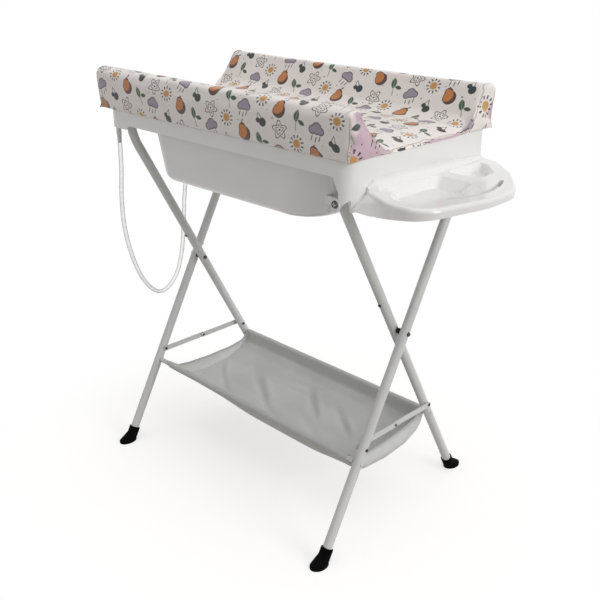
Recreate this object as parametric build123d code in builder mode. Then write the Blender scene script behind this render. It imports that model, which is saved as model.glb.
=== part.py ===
from build123d import *
import os
from math import hypot, sin, cos, tan, radians, sqrt, acos, pi

os.makedirs("parts", exist_ok=True)

# A folding baby bath: two crossed tube frames carry a moulded tub with a tray at one end,
# a drain hose, a cloth basket below and a changing mat on top. Millimetres, +Z up.
# X runs along the tub, the tray is at +X. -Y is the front. The floor is at z = 0.

# Driving sizes of the stand
tube_d = 22.2
tube_wall = 1.5
lean = 28.4
crossing_z = 483.5
inner_x = 338.0
frame_gap = 9.0
fit_gap = 0.1
rest_gap = 0.3
overrun = 5.0
tube_r = tube_d / 2
tube_bore_r = tube_r - tube_wall
outer_x = inner_x + tube_d + frame_gap

# Driving sizes of the tub, the tray and the mat, measured from the middle of the stand
rim_z = 910.5
flange_t = 3.2
skirt_t = 3.0
tub_left_gap = 11.7
tub_right_gap = 15.7
tray_length = 204.0
mat_left_overhang = 27.0
mat_right_overhang = 7.0
mat_side_overhang = 4.0
mat_height = 98.0
under_rim_z = rim_z - flange_t
tub_left = -(outer_x + tube_r + tub_left_gap)
tub_right = outer_x + tube_r + tub_right_gap
tray_tip = tub_right + tray_length
mat_left = tub_left - mat_left_overhang
mat_right = tub_right + mat_right_overhang

# The model's origin is under the middle of the whole object, so the stand stands off it in X
stand_x = -(tray_tip + mat_left) / 2

sides = (("left", -1), ("right", 1))


def leg_y(tilt, along):
    # tilt is +1 for the outer frame, whose tops are at the back, and -1 for the inner one
    return tilt * along * sin(radians(lean))


def leg_z(along):
    return crossing_z + along * cos(radians(lean))


def leg_plane(x, tilt, along):
    # a plane square to a leg, a distance along it from the crossing, its z pointing up the leg
    return Plane(
        origin=(x, leg_y(tilt, along), leg_z(along)),
        x_dir=(1, 0, 0),
        z_dir=(0, tilt * sin(radians(lean)), cos(radians(lean))),
    )


def across(x, y, z, way=1):
    # a plane square to X, its own x along Y, its normal along +X, or along -X where way is -1
    return Plane(origin=(x, y, z), x_dir=(0, 1, 0), z_dir=(way, 0, 0))


def facing_front(x, y, z):
    # a plane square to Y, its own x along X, its own y up and its normal to the front
    return Plane(origin=(x, y, z), x_dir=(1, 0, 0), z_dir=(0, -1, 0))


def save(piece, name):
    piece.part.label = name
    export_step(piece.part, f"parts/{name}.step")


# Where the pieces sit along a leg, from the crossing
floor_along = -crossing_z / cos(radians(lean))
sole_lift = 14.0
leg_bottom = floor_along + sole_lift
rail_along = -308.0
brace_along = -274.0

# Holes and rivets
crossing_rivet_r = 3.9
brace_rivet_r = 2.4
rail_screw_r = 2.5
running_gap = 0.08
crossing_head_r = 5.4
brace_head_r = 4.2
screw_head_r = 4.5
head_t = 2.2
head_slope = 25.0

# Two-piece legs: the lower tube takes the upper one's thinner end, a snap button holds it
outer_joint = 60.0
outer_spigot = 44.0
outer_button = 34.0
inner_joint = 130.0
inner_spigot = 74.0
inner_button = 88.0
frames = {
    "outer": dict(tilt=1, x=outer_x, joint=outer_joint, spigot=outer_spigot, button=outer_button),
    "inner": dict(tilt=-1, x=inner_x, joint=inner_joint, spigot=inner_spigot, button=inner_button),
}
spigot_r = tube_bore_r - fit_gap
spigot_wall = 1.3
spigot_bore_r = spigot_r - spigot_wall
shoulder_t = 3.0
end_chamfer = 0.6
bend_r = 150.0
top_straight = 10.2
button_r = 3.6
button_hole_r = button_r + running_gap
button_out = 2.4
button_round = 1.2
button_flange_r = 4.6
button_flange_t = 1.2
# the flange's flat face meets the round bore at its edge, so it sits this far off the leg's axis
button_seat = sqrt(spigot_bore_r ** 2 - button_flange_r ** 2) - running_gap

# Tops of the legs
cap_r = 12.0
cap_head_t = 6.0
cap_round = 2.5
cap_plug_length = 9.0
cap_foot_z = under_rim_z - fit_gap - cap_head_t
leg_top_z = cap_foot_z - fit_gap
bend_y = bend_r * (1 - cos(radians(lean)))
bend_top_z = leg_top_z - top_straight
bend_start = (bend_top_z - bend_r * sin(radians(lean)) - crossing_z) / cos(radians(lean))
top_along_y = bend_start * sin(radians(lean)) + bend_y


def drill(plane, radius, depth):
    # a round hole from a plane, along its normal
    with BuildSketch(plane) as hole:
        Circle(radius)
    extrude(hole.sketch, amount=depth, mode=Mode.SUBTRACT)


def stud(plane, radius, length):
    # a round pin from a plane, along its normal
    with BuildSketch(plane) as pin:
        Circle(radius)
    extrude(pin.sketch, amount=length)


def domed_head(plane, radius, thickness):
    # a rivet or screw head on a plane, its edge sloped back
    with BuildSketch(plane) as head:
        Circle(radius)
    extrude(head.sketch, amount=thickness, taper=head_slope)


def cross_holes(x, tilt, places):
    # drilled along X through a leg, each place a distance along the leg and a radius
    for along, radius in places:
        start = across(x - tube_r - overrun, leg_y(tilt, along), leg_z(along))
        drill(start, radius, tube_d + 2 * overrun)


def button_plane(x, tilt, along):
    # starts on the leg's axis, points out through the leg's lower face
    return Plane(
        origin=(x, leg_y(tilt, along), leg_z(along)),
        x_dir=(1, 0, 0),
        z_dir=(0, tilt * cos(radians(lean)), -sin(radians(lean))),
    )


for frame_name, leg in frames.items():
    tilt = leg["tilt"]
    for side_name, side in sides:
        x = stand_x + side * leg["x"]

        # Lower tube
        with BuildPart() as lower:
            with BuildSketch(leg_plane(x, tilt, leg_bottom)):
                Circle(tube_r)
                Circle(tube_bore_r, mode=Mode.SUBTRACT)
            extrude(amount=leg["joint"] - leg_bottom)
            ends = lower.edges().filter_by(GeomType.CIRCLE).sort_by(Axis.Z)
            chamfer(ends[-2:].sort_by(SortBy.RADIUS)[-1], end_chamfer)
            cross_holes(x, tilt, (
                (0, crossing_rivet_r + running_gap),
                (brace_along, brace_rivet_r + running_gap),
                (rail_along, rail_screw_r + running_gap),
            ))
            drill(button_plane(x, tilt, leg["button"]), button_hole_r, tube_r + overrun)
        save(lower, f"{frame_name}_leg_lower_{side_name}")

        # Upper tube: straight, then a bend that brings its end upright under the rim
        start = leg["joint"] + fit_gap
        with BuildPart() as upper:
            with BuildLine(Plane.YZ.offset(x)):
                Line(
                    (leg_y(tilt, start), leg_z(start)),
                    (leg_y(tilt, bend_start), leg_z(bend_start)),
                )
                RadiusArc(
                    (leg_y(tilt, bend_start), leg_z(bend_start)),
                    (tilt * top_along_y, bend_top_z),
                    -tilt * bend_r,
                )
                Line((tilt * top_along_y, bend_top_z), (tilt * top_along_y, leg_top_z))
            with BuildSketch(leg_plane(x, tilt, start)):
                Circle(tube_r)
                Circle(tube_bore_r, mode=Mode.SUBTRACT)
            sweep()
            ends = upper.edges().filter_by(GeomType.CIRCLE).sort_by(Axis.Z)
            chamfer(ends[:2].sort_by(SortBy.RADIUS)[-1], end_chamfer)
            with BuildSketch(leg_plane(x, tilt, start)):
                Circle(tube_r)
                Circle(spigot_bore_r, mode=Mode.SUBTRACT)
            extrude(amount=shoulder_t)
            with BuildSketch(leg_plane(x, tilt, leg["joint"] - leg["spigot"])):
                Circle(spigot_r)
                Circle(spigot_bore_r, mode=Mode.SUBTRACT)
            extrude(amount=leg["spigot"] + fit_gap)
            drill(button_plane(x, tilt, leg["button"]), button_hole_r, tube_r + overrun)
        save(upper, f"{frame_name}_leg_upper_{side_name}")

        # Snap button: a round head through both walls, with a flange inside
        out = button_plane(x, tilt, leg["button"])
        with BuildPart() as button:
            stud(out.offset(button_seat - button_flange_t), button_r,
                 tube_r + button_out - button_seat + button_flange_t)
            tip = button.edges().filter_by(GeomType.CIRCLE).sort_by(Axis(out.origin, out.z_dir))[-1]
            fillet(tip, button_round)
            stud(out.offset(button_seat - button_flange_t), button_flange_r, button_flange_t)
        save(button, f"{frame_name}_snap_button_{side_name}")

    # Plastic caps that close the upright ends and carry the rim
    with BuildPart() as caps:
        for side_name, side in sides:
            x = stand_x + side * leg["x"]
            with BuildSketch(Plane.XY.offset(cap_foot_z)):
                with Locations((x, tilt * top_along_y)):
                    Circle(cap_r)
            extrude(amount=cap_head_t)
        fillet(caps.edges().group_by(Axis.Z)[-1], cap_round)
        for side_name, side in sides:
            x = stand_x + side * leg["x"]
            with BuildSketch(Plane.XY.offset(cap_foot_z)):
                with Locations((x, tilt * top_along_y)):
                    Circle(spigot_r)
            extrude(amount=-cap_plug_length)
    save(caps, f"{frame_name}_top_caps")

# Rubber feet: a socket round the tube end and a flared sole, flat on the floor
foot_socket_r = 14.4
foot_height_along = 40.0
sole_half_x = 18.0
sole_half_y = 25.0
sole_out = 7.0
sole_t = 5.0
flare_z = 25.0
flare_top_share = 0.9
toe_round = 2.0
feet = {"outer": "front_foot", "inner": "back_foot"}

for frame_name, leg in frames.items():
    tilt = leg["tilt"]
    for side_name, side in sides:
        x = stand_x + side * leg["x"]
        with BuildPart() as foot:
            with BuildSketch(leg_plane(x, tilt, floor_along)):
                Circle(foot_socket_r)
            extrude(amount=foot_height_along)
            fillet(foot.edges().sort_by(Axis.Z)[-1], toe_round)
            with BuildSketch(Plane.XY.offset(sole_t)):
                with Locations((x, leg_y(tilt, floor_along) - tilt * sole_out)):
                    Ellipse(sole_half_x, sole_half_y)
            with BuildSketch(Plane.XY.offset(flare_z)):
                with Locations((x, leg_y(tilt, floor_along) + tilt * flare_z * tan(radians(lean)))):
                    Ellipse(
                        foot_socket_r * flare_top_share,
                        foot_socket_r * flare_top_share / cos(radians(lean)),
                    )
            loft()
            with BuildSketch():
                with Locations((x, leg_y(tilt, floor_along) - tilt * sole_out)):
                    Ellipse(sole_half_x, sole_half_y)
            extrude(amount=sole_t)
            with BuildSketch(Plane.XY):
                with Locations((x, leg_y(tilt, floor_along))):
                    Rectangle(4 * sole_half_x, 4 * sole_half_y)
            extrude(amount=-4 * sole_half_y, mode=Mode.SUBTRACT)
            with BuildSketch(leg_plane(x, tilt, leg_bottom - fit_gap)):
                Circle(tube_r + fit_gap)
            extrude(amount=foot_height_along, mode=Mode.SUBTRACT)
        save(foot, f"{feet[frame_name]}_{side_name}")

# What the frames turn on: a rivet through both tubes each side, with a spacer between them
spacer_r = 6.6
with BuildPart() as rivets:
    for side_name, side in sides:
        near = inner_x - tube_r - fit_gap
        far = outer_x + tube_r + fit_gap
        stud(across(stand_x + side * near, 0, crossing_z, side), crossing_rivet_r, far - near)
        domed_head(across(stand_x + side * near, 0, crossing_z, -side), crossing_head_r, head_t)
        domed_head(across(stand_x + side * far, 0, crossing_z, side), crossing_head_r, head_t)
save(rivets, "crossing_rivets")

with BuildPart() as spacers:
    for side_name, side in sides:
        near = inner_x + tube_r + fit_gap
        start = across(stand_x + side * near, 0, crossing_z, side)
        stud(start, spacer_r, frame_gap - 2 * fit_gap)
        drill(start, crossing_rivet_r + running_gap, frame_gap)
save(spacers, "crossing_spacers")

# Folding braces: each side has two flat links in the gap between the frames. Each link turns
# on a rivet in its own leg and carries its own half of the middle rivet, so the middle is open.
link_t = 2.0
link_w = 14.0
link_gap = 0.25
washer_t = 2.0
washer_r = 6.5
brace_half = -brace_along * sin(radians(lean))
brace_z = leg_z(brace_along)
gap_start = inner_x + tube_r
link_starts = {
    "inner": gap_start + fit_gap + washer_t + link_gap,
    "outer": gap_start + frame_gap - fit_gap - washer_t - link_gap - link_t,
}
middle_head_t = 1.6

for frame_name, leg in frames.items():
    tilt = leg["tilt"]
    pin_y = leg_y(tilt, brace_along)
    inward = -1 if frame_name == "inner" else 1
    for side_name, side in sides:
        x = stand_x + side * link_starts[frame_name]
        with BuildPart() as link:
            with BuildSketch(across(x, pin_y / 2, brace_z)):
                SlotCenterToCenter(brace_half, link_w)
                with Locations((pin_y / 2, 0)):
                    Circle(brace_rivet_r + running_gap, mode=Mode.SUBTRACT)
            extrude(amount=side * link_t)
            # its half of the middle rivet stands off the face that looks at its own leg
            face_x = x + side * (link_t if frame_name == "outer" else 0)
            domed_head(across(face_x, 0, brace_z, side * inward), brace_head_r, middle_head_t)
        save(link, f"{frame_name}_brace_{side_name}")

    # Washers between the leg and its link, and rivets through leg, washer and link
    if frame_name == "inner":
        washer_x = gap_start + fit_gap
        head_x = inner_x - tube_r - fit_gap
        tail_x = link_starts["inner"] + link_t + fit_gap
    else:
        washer_x = gap_start + frame_gap - fit_gap - washer_t
        head_x = outer_x + tube_r + fit_gap
        tail_x = link_starts["outer"] - fit_gap
    away = 1 if tail_x > head_x else -1

    with BuildPart() as washers:
        for side_name, side in sides:
            start = across(stand_x + side * washer_x, pin_y, brace_z, side)
            stud(start, washer_r, washer_t)
            drill(start, brace_rivet_r + running_gap, washer_t)
    save(washers, f"{frame_name}_brace_washers")

    with BuildPart() as brace_rivets:
        for side_name, side in sides:
            head_plane = across(stand_x + side * head_x, pin_y, brace_z, side * away)
            stud(head_plane, brace_rivet_r, abs(tail_x - head_x))
            domed_head(
                across(stand_x + side * head_x, pin_y, brace_z, -side * away), brace_head_r, head_t
            )
            domed_head(
                across(stand_x + side * tail_x, pin_y, brace_z, side * away), brace_head_r, middle_head_t
            )
    save(brace_rivets, f"{frame_name}_brace_rivets")

# Rails across each frame carry the basket
rail_r = 6.4
rail_wall = 1.2
rail_plug = 24.0
rails = {"outer": "front_rail", "inner": "back_rail"}

for frame_name, leg in frames.items():
    tilt = leg["tilt"]
    rail_y = leg_y(tilt, rail_along)
    rail_z = leg_z(rail_along)
    rail_half = leg["x"] - tube_r - fit_gap
    with BuildPart() as rail:
        stud(across(stand_x - rail_half, rail_y, rail_z), rail_r, 2 * rail_half)
        drill(
            across(stand_x - rail_half + rail_plug, rail_y, rail_z),
            rail_r - rail_wall,
            2 * (rail_half - rail_plug),
        )
        for side_name, side in sides:
            end_plane = across(stand_x + side * rail_half, rail_y, rail_z, -side)
            drill(end_plane, rail_screw_r + running_gap, rail_plug + overrun)
    save(rail, rails[frame_name])

    with BuildPart() as rail_screws:
        for side_name, side in sides:
            seat_x = stand_x + side * (leg["x"] + tube_r + fit_gap)
            domed_head(across(seat_x, rail_y, rail_z, side), screw_head_r, head_t)
            stud(across(seat_x, rail_y, rail_z, -side), rail_screw_r, tube_d + rail_plug - overrun)
    save(rail_screws, f"{rails[frame_name]}_screws")

# Basket: one cloth hung from both rails, with a low panel at each end
cloth_t = 1.6
sleeve_gap = 0.4
hem_t = 4.8
basket_end_gap = 6.9
sag = 60.0
hem_angle = 45.0
basket_half_x = inner_x - tube_r - basket_end_gap
sleeve_bore_r = rail_r + sleeve_gap
sleeve_r = sleeve_bore_r + cloth_t
rail_half_y = -rail_along * sin(radians(lean))
hem_z = leg_z(rail_along)
hem_drop = (sleeve_bore_r + cloth_t / 2) * sin(radians(hem_angle))
hang_half = rail_half_y - hem_drop
# Along Y as shares of the half width and down as shares of the sag, between the two sleeves
floor_shares = ((-0.88, 0.50), (-0.68, 0.84), (-0.14, 1), (0.44, 0.87), (0.78, 0.52))
binding_shares = ((-0.86, 0.24), (-0.60, 0.34), (-0.10, 0.41), (0.50, 0.40), (0.84, 0.30))
# The main folds: where each section lies along X, how deep it hangs, how far it leans in Y
fold_shares = (
    (-1, 1, 0), (-0.72, 1.05, 0.05), (-0.4, 0.97, -0.04), (-0.05, 1.08, 0.03),
    (0.3, 0.98, -0.05), (0.68, 1.06, 0.04), (1, 1, 0),
)


def hang_line(shares, depth, lean_share, lower):
    # three arcs from the front sleeve down and up to the back one
    points = [(-hang_half, hem_z - hem_drop - lower)]
    for y_share, z_share in shares:
        points.append((
            (y_share + lean_share) * hang_half,
            hem_z - hem_drop - lower - z_share * depth * (sag - hem_drop),
        ))
    points.append((hang_half, hem_z - hem_drop - lower))
    for first in (0, 2, 4):
        ThreePointArc(points[first], points[first + 1], points[first + 2])
    return points[0], points[-1]


with BuildPart() as basket:
    # a sleeve round each rail, with the sewn hem that joins it to the trough
    with BuildSketch(across(stand_x - basket_half_x, 0, 0)):
        with Locations((-rail_half_y, hem_z), (rail_half_y, hem_z)):
            Circle(sleeve_r)
        hem_middle_z = hem_z - hem_drop - cloth_t / 2
        with Locations((-hang_half, hem_middle_z), (hang_half, hem_middle_z)):
            Rectangle(hem_t, hem_t)
        with Locations((-rail_half_y, hem_z), (rail_half_y, hem_z)):
            Circle(sleeve_bore_r, mode=Mode.SUBTRACT)
    extrude(amount=2 * basket_half_x)
    for x_share, depth, lean_share in fold_shares:
        with BuildSketch(across(stand_x + x_share * basket_half_x, 0, 0)):
            with BuildLine():
                top_front, top_back = hang_line(floor_shares, depth, lean_share, 0)
                low_front, low_back = hang_line(floor_shares, depth, lean_share, cloth_t)
                Line(top_front, low_front)
                Line(top_back, low_back)
            make_face()
    loft()
    for side_name, side in sides:
        with BuildSketch(across(stand_x + side * basket_half_x, 0, 0)):
            with BuildLine():
                top_front, top_back = hang_line(binding_shares, 1, 0, 0)
                low_front, low_back = hang_line(floor_shares, 1, 0, cloth_t / 2)
                Line(top_front, low_front)
                Line(top_back, low_back)
            make_face()
        extrude(amount=-side * cloth_t)
save(basket, "basket_cloth")

# Tub shell: a deep basin, a flat rim, a skirt round it and an end wall that meets the tray
tub_side_gap = 14.2
rim_w = 21.0
basin_left_gap = 57.9
basin_right_gap = 6.9
basin_depth = 158.5
wall_t = 3.0
left_draft = 15.0
right_draft = 66.0
side_draft = 20.0
basin_round_left = 50.0
basin_round_right = 90.0
basin_floor_round = 26.0
rim_round = 30.0
skirt_h = 32.5
ear_h = 42.5
ear_length = 70.0
ear_slope = 14.0
panel_h = 98.5
panel_top_in = 40.0
panel_low_in = 25.0
panel_slope = 30.0
lug_r = 12.0
lug_reach = 8.0
lug_up = 13.5
lug_t = 4.0
notch_low = 7.0
notch_h = 23.5
notch_run = 17.0
notch_w = 14.0
tub_half_w = top_along_y + cap_r + tub_side_gap
basin_half_w = tub_half_w - rim_w
basin_left = -(inner_x - tube_r) + basin_left_gap
basin_right = inner_x - tube_r - basin_right_gap
basin_floor_z = rim_z - basin_depth
skirt_z = rim_z - skirt_h
ear_z = rim_z - ear_h
ear_right = tub_left + ear_length
panel_z = rim_z - panel_h
panel_top_x = tub_right - panel_top_in
panel_low_x = tub_right - panel_low_in
panel_low_z = skirt_z - panel_slope
lug_x = panel_low_x - lug_reach
lug_z = panel_z + lug_up
rim_middle_x = stand_x + (tub_left + tub_right) / 2

# Screws that hold the tray to the end wall
boss_y = 100.0
boss_up = 20.0
boss_r = 6.5
boss_length = 16.0
boss_z = panel_z + boss_up

# Drain: a spigot low in the basin's left wall, through a boss, with a seal, a nut and a plug
drain_up = 20.0
drain_r = 8.0
drain_flange_r = 15.0
drain_flange_t = 2.5
drain_bore_r = 4.0
drain_boss_border = 3.5
drain_boss_t = 6.0
drain_seat_depth = 0.6
drain_barb_r = 3.9
drain_barb_length = 29.0
nut_half = 12.0
nut_t = 6.0
seal_t = 1.5
plug_r = 3.9
plug_cap_r = 9.0
plug_cap_t = 3.0
plug_length = 9.0
drain_z = basin_floor_z + drain_up
drain_boss_r = drain_flange_r + drain_boss_border
drain_wall_x = basin_left + left_draft * (under_rim_z - drain_z) / (under_rim_z - basin_floor_z)
drain_seat_x = drain_wall_x - drain_seat_depth
drain_boss_x = drain_seat_x - drain_boss_t
nut_x = drain_boss_x - fit_gap - nut_t
drain_barb_end = nut_x - drain_barb_length

# Socket for the hose's free end, under the rim at the front left corner
holder_inset = 16.0
holder_r = 9.6
nozzle_r = 6.2
nozzle_length = 42.0
nozzle_below = 22.0
nozzle_barb_length = 20.0
nozzle_chamfer = 0.5
holder_x = tub_left + holder_inset
holder_y = -tub_half_w + holder_inset
nozzle_bottom_z = ear_z - nozzle_below
nozzle_top_z = nozzle_bottom_z + nozzle_length


def basin_outline(inset, z):
    # a rounded box that draws in towards the floor
    share = (under_rim_z - z) / (under_rim_z - basin_floor_z)
    left = stand_x + basin_left + inset + left_draft * share
    right = stand_x + basin_right - inset - right_draft * share
    half = basin_half_w - inset - side_draft * share
    with BuildSketch(Plane.XY.offset(z)) as outline:
        with BuildLine():
            FilletPolyline(
                (left, -half), (right, -half), (right, half), (left, half),
                radius=(
                    basin_round_left - inset, basin_round_right - inset,
                    basin_round_right - inset, basin_round_left - inset,
                ),
                close=True,
            )
        make_face()
    return outline.sketch


with BuildPart() as basin_form:
    loft([basin_outline(0, basin_floor_z), basin_outline(0, under_rim_z + flange_t / 2)])
    fillet(basin_form.edges().group_by(Axis.Z)[0], basin_floor_round)

with BuildPart() as basin_room:
    loft([basin_outline(wall_t, basin_floor_z + wall_t), basin_outline(wall_t, rim_z + overrun)])
    fillet(basin_room.edges().group_by(Axis.Z)[0], basin_floor_round - wall_t)

with BuildPart() as tub:
    with BuildSketch(Plane.XY.offset(under_rim_z)):
        with Locations((rim_middle_x, 0)):
            RectangleRounded(tub_right - tub_left, 2 * tub_half_w, rim_round)
    extrude(amount=flange_t)
    with BuildSketch(Plane.XY.offset(panel_z)):
        with Locations((rim_middle_x, 0)):
            RectangleRounded(tub_right - tub_left, 2 * tub_half_w, rim_round)
            RectangleRounded(
                tub_right - tub_left - 2 * skirt_t, 2 * (tub_half_w - skirt_t),
                rim_round - skirt_t, mode=Mode.SUBTRACT,
            )
    extrude(amount=under_rim_z - panel_z)
    # the skirt's lower edge: an ear at the left end, then level, then down to the tray end
    with BuildSketch(facing_front(stand_x, 0, 0)):
        with BuildLine():
            Polyline(
                (tub_left - overrun, panel_z - overrun),
                (tub_left - overrun, ear_z),
                (ear_right, ear_z),
                (ear_right + ear_slope, skirt_z),
                (panel_top_x, skirt_z),
                (panel_low_x, panel_low_z),
                (panel_low_x, panel_z - overrun),
                close=True,
            )
        make_face()
    extrude(amount=tub_half_w + overrun, both=True, mode=Mode.SUBTRACT)
    # the skirt is cut up over the top of each leg at the tray end
    for y_side in (-1, 1):
        with BuildSketch(facing_front(stand_x, y_side * (tub_half_w - notch_w / 2), 0)):
            with BuildLine():
                Polyline(
                    (panel_low_x - overrun, panel_z - overrun),
                    (panel_low_x - overrun, panel_z + notch_low),
                    (panel_low_x, panel_z + notch_low),
                    (panel_low_x + notch_run, panel_z + notch_h),
                    (tub_right + overrun, panel_z + notch_h),
                    (tub_right + overrun, panel_z - overrun),
                    close=True,
                )
            make_face()
        extrude(amount=notch_w / 2 + overrun * (1 + y_side) / 2, both=True, mode=Mode.SUBTRACT)
    # lug for the leg clip's screw at the front right corner
    stud(facing_front(stand_x + lug_x, -tub_half_w, lug_z).offset(-lug_t), lug_r, lug_t)
    # socket for the hose's free end
    stud(Plane(origin=(stand_x + holder_x, holder_y, ear_z)), holder_r, under_rim_z - ear_z)
    add(basin_form.part)
    stud(across(stand_x + drain_boss_x, 0, drain_z), drain_boss_r, drain_boss_r)
    add(basin_room.part, mode=Mode.SUBTRACT)
    fillet(tub.edges().group_by(Axis.Z)[-1], flange_t / 3)
    drill(
        Plane(origin=(stand_x + holder_x, holder_y, ear_z - overrun)),
        nozzle_r + fit_gap,
        nozzle_top_z + fit_gap - ear_z + overrun,
    )
    drill(
        facing_front(stand_x + lug_x, -tub_half_w, lug_z).offset(-lug_t),
        rail_screw_r + running_gap,
        lug_t,
    )
    drill(across(stand_x + drain_seat_x, 0, drain_z), drain_flange_r + fit_gap, drain_boss_r)
    drill(
        across(stand_x + drain_boss_x, 0, drain_z), drain_r + fit_gap, drain_seat_x - drain_boss_x
    )
    for y_side in (-1, 1):
        drill(
            across(stand_x + tub_right - skirt_t, y_side * boss_y, boss_z),
            rail_screw_r + running_gap,
            skirt_t,
        )
save(tub, "tub_shell")

# Drain fittings, all on the spigot's axis along X
with BuildPart() as spigot:
    flange_x = drain_seat_x + fit_gap + seal_t + fit_gap
    stud(across(stand_x + flange_x, 0, drain_z), drain_flange_r, drain_flange_t)
    stud(across(stand_x + flange_x, 0, drain_z, -1), drain_r, flange_x - nut_x + overrun)
    stud(across(stand_x + nut_x, 0, drain_z, -1), drain_barb_r, nut_x - drain_barb_end)
    drill(
        across(stand_x + drain_barb_end, 0, drain_z),
        drain_barb_r - spigot_wall,
        flange_x - drain_barb_end,
    )
    drill(
        across(stand_x + flange_x + drain_flange_t, 0, drain_z, -1),
        drain_bore_r,
        drain_flange_t + plug_length,
    )
save(spigot, "drain_spigot")

with BuildPart() as seal:
    stud(across(stand_x + drain_seat_x + fit_gap, 0, drain_z), drain_flange_r - fit_gap, seal_t)
    drill(across(stand_x + drain_seat_x + fit_gap, 0, drain_z), drain_r + fit_gap, seal_t)
save(seal, "drain_seal")

with BuildPart() as nut:
    with BuildSketch(across(stand_x + nut_x, 0, drain_z)):
        RegularPolygon(nut_half, 6, major_radius=False)
        Circle(drain_r + fit_gap, mode=Mode.SUBTRACT)
    extrude(amount=nut_t)
save(nut, "drain_nut")

with BuildPart() as plug:
    cap_x = flange_x + drain_flange_t + fit_gap
    stud(across(stand_x + cap_x, 0, drain_z), plug_cap_r, plug_cap_t)
    fillet(plug.edges().group_by(Axis.X)[-1], plug_cap_t / 2)
    stud(across(stand_x + cap_x, 0, drain_z, -1), plug_r, plug_length)
save(plug, "drain_plug")

# Drain hose: out of the spigot, between the crossed legs, down outside them and up to the rim
hose_r = 5.5
hose_bore_r = 4.0
hose_start = nut_x - overrun - fit_gap - fit_gap
hose_end_z = nozzle_bottom_z - fit_gap
hose_points = (
    (hose_start, 0, drain_z), (-318, 0, drain_z), (-374, -1, 744), (-396, -4, 674), (-397, -12, 580),
    (-396, -24, 490), (-396, -52, 415), (-396, -108, 384), (-396, -158, 436), (-396, -188, 512),
    (-395, -207, 604), (-388, -211, 694), (holder_x, holder_y, 772), (holder_x, holder_y, hose_end_z),
)
stiff_share = 0.45


def corner_radii(points):
    # the largest bend that leaves a straight bit in the middle of each run
    radii = []
    for before, corner, after in zip(points, points[1:], points[2:]):
        run_in = Vector(corner) - Vector(before)
        run_out = Vector(after) - Vector(corner)
        half_turn = radians(run_in.get_angle(run_out)) / 2
        radii.append(stiff_share * min(run_in.length, run_out.length) / tan(half_turn))
    return radii


hose_route = [(stand_x + x, y, z) for x, y, z in hose_points]
hose_radii = corner_radii(hose_route)
print("hose bend radii", [round(radius) for radius in hose_radii])

with BuildPart() as hose:
    with BuildLine() as route:
        FilletPolyline(*hose_route, radius=hose_radii)
    with BuildSketch(across(stand_x + hose_start, 0, drain_z, -1)):
        Circle(hose_r)
        Circle(hose_bore_r, mode=Mode.SUBTRACT)
    sweep()
hose_section = pi * (hose_r ** 2 - hose_bore_r ** 2)
hose_length = sum(edge.length for edge in route.edges())
print("hose length", round(hose_length, 1), "from its volume", round(hose.part.volume / hose_section, 1))
save(hose, "drain_hose")

with BuildPart() as nozzle:
    stud(Plane(origin=(stand_x + holder_x, holder_y, nozzle_bottom_z)), nozzle_r, nozzle_length)
    chamfer(nozzle.edges().group_by(Axis.Z)[-1], nozzle_chamfer)
    stud(
        Plane(origin=(stand_x + holder_x, holder_y, nozzle_bottom_z - nozzle_barb_length)),
        drain_barb_r,
        nozzle_barb_length,
    )
save(nozzle, "hose_nozzle")

# Organizer tray: a rounded shelf with two recesses and a towel slot, screwed to the end wall
tray_drop = 60.5
lip_h = 32.0
lip_slope = 15.0
tray_t = 3.0
tray_round = 7.0
recess_depth = 18.0
recess_floor_share = 0.70
slot_half = 4.8
slot_wall_h = 14.0
tray_z = rim_z - tray_drop
lip_z = tray_z - lip_h
tray_x = tub_right + fit_gap
slot_wall_z = tray_z - slot_wall_h
# Outlines: along X as shares of the tray's length, in Y as shares of the tub's half width
tray_top_shares = (
    (0, -0.78), (0.411, -0.96), (0.804, -0.938), (1, -0.265), (0.98, 0.159), (0.60, 0.60),
    (0.235, 0.87), (0, 0.92),
)
tray_low_shares = (
    (0, -0.96), (0.441, -0.982), (0.784, -0.92), (0.99, -0.274),
    (0.971, 0.15), (0.59, 0.59), (0.245, 0.86), (0, 0.982),
)
soap_shares = (
    (0.117, -0.628), (0.382, -0.841), (0.686, -0.788), (0.667, -0.265), (0.568, 0.053), (0.117, 0.053),
)
cup_shares = ((0.117, 0.204), (0.529, 0.204), (0.48, 0.487), (0.245, 0.699), (0.117, 0.699))
slot_shares = ((0.725, -0.496), (0.828, -0.106), (0.711, 0.283))
# Corner radii as shares of the tray's length
tray_round_shares = (0, 0.294, 0.294, 0.588, 0.49, 0.35, 0.441, 0)
soap_round_shares = (0.098, 0.118, 0.118, 0.196, 0.118, 0.098)
cup_round_shares = (0.078, 0.098, 0.118, 0.069, 0.059)
recesses = ((soap_shares, soap_round_shares), (cup_shares, cup_round_shares))
level_share = 0.215
# The cove: the deck sweeps up to the end wall
# each section: its place across as a share of the tub's half width, its height and its length
cove_sections = (
    (-0.775, 7.0, 8.0), (-0.70, 18.0, 20.0), (-0.36, 20.0, 22.0),
    (0.09, 16.5, 20.0), (0.57, 11.0, 16.0), (0.88, 6.0, 10.0),
)
cove_hollows = ((-0.66, 12.5, 14.5), (-0.36, 14.0, 16.0), (0.09, 10.5, 14.0), (0.45, 6.5, 11.0))
# The brow: how far the outline draws in, and how far under the deck, as a share of its rounding
brow_shares = ((1, 1), (0.995, 0.5), (0.985, 0.15), (0.965, 0))


def plan(shares):
    # places on the tray, in the model
    return [(stand_x + tray_x + x * tray_length, y * tub_half_w) for x, y in shares]


def drawn_in(shares, size):
    # the outline scaled towards the middle of the wall it stands on
    return [(x * size, y * size) for x, y in shares]


def shrunk(shares, size):
    # the outline scaled towards its own middle
    middle_x = sum(x for x, y in shares) / len(shares)
    middle_y = sum(y for x, y in shares) / len(shares)
    return [(middle_x + (x - middle_x) * size, middle_y + (y - middle_y) * size) for x, y in shares]


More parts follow.
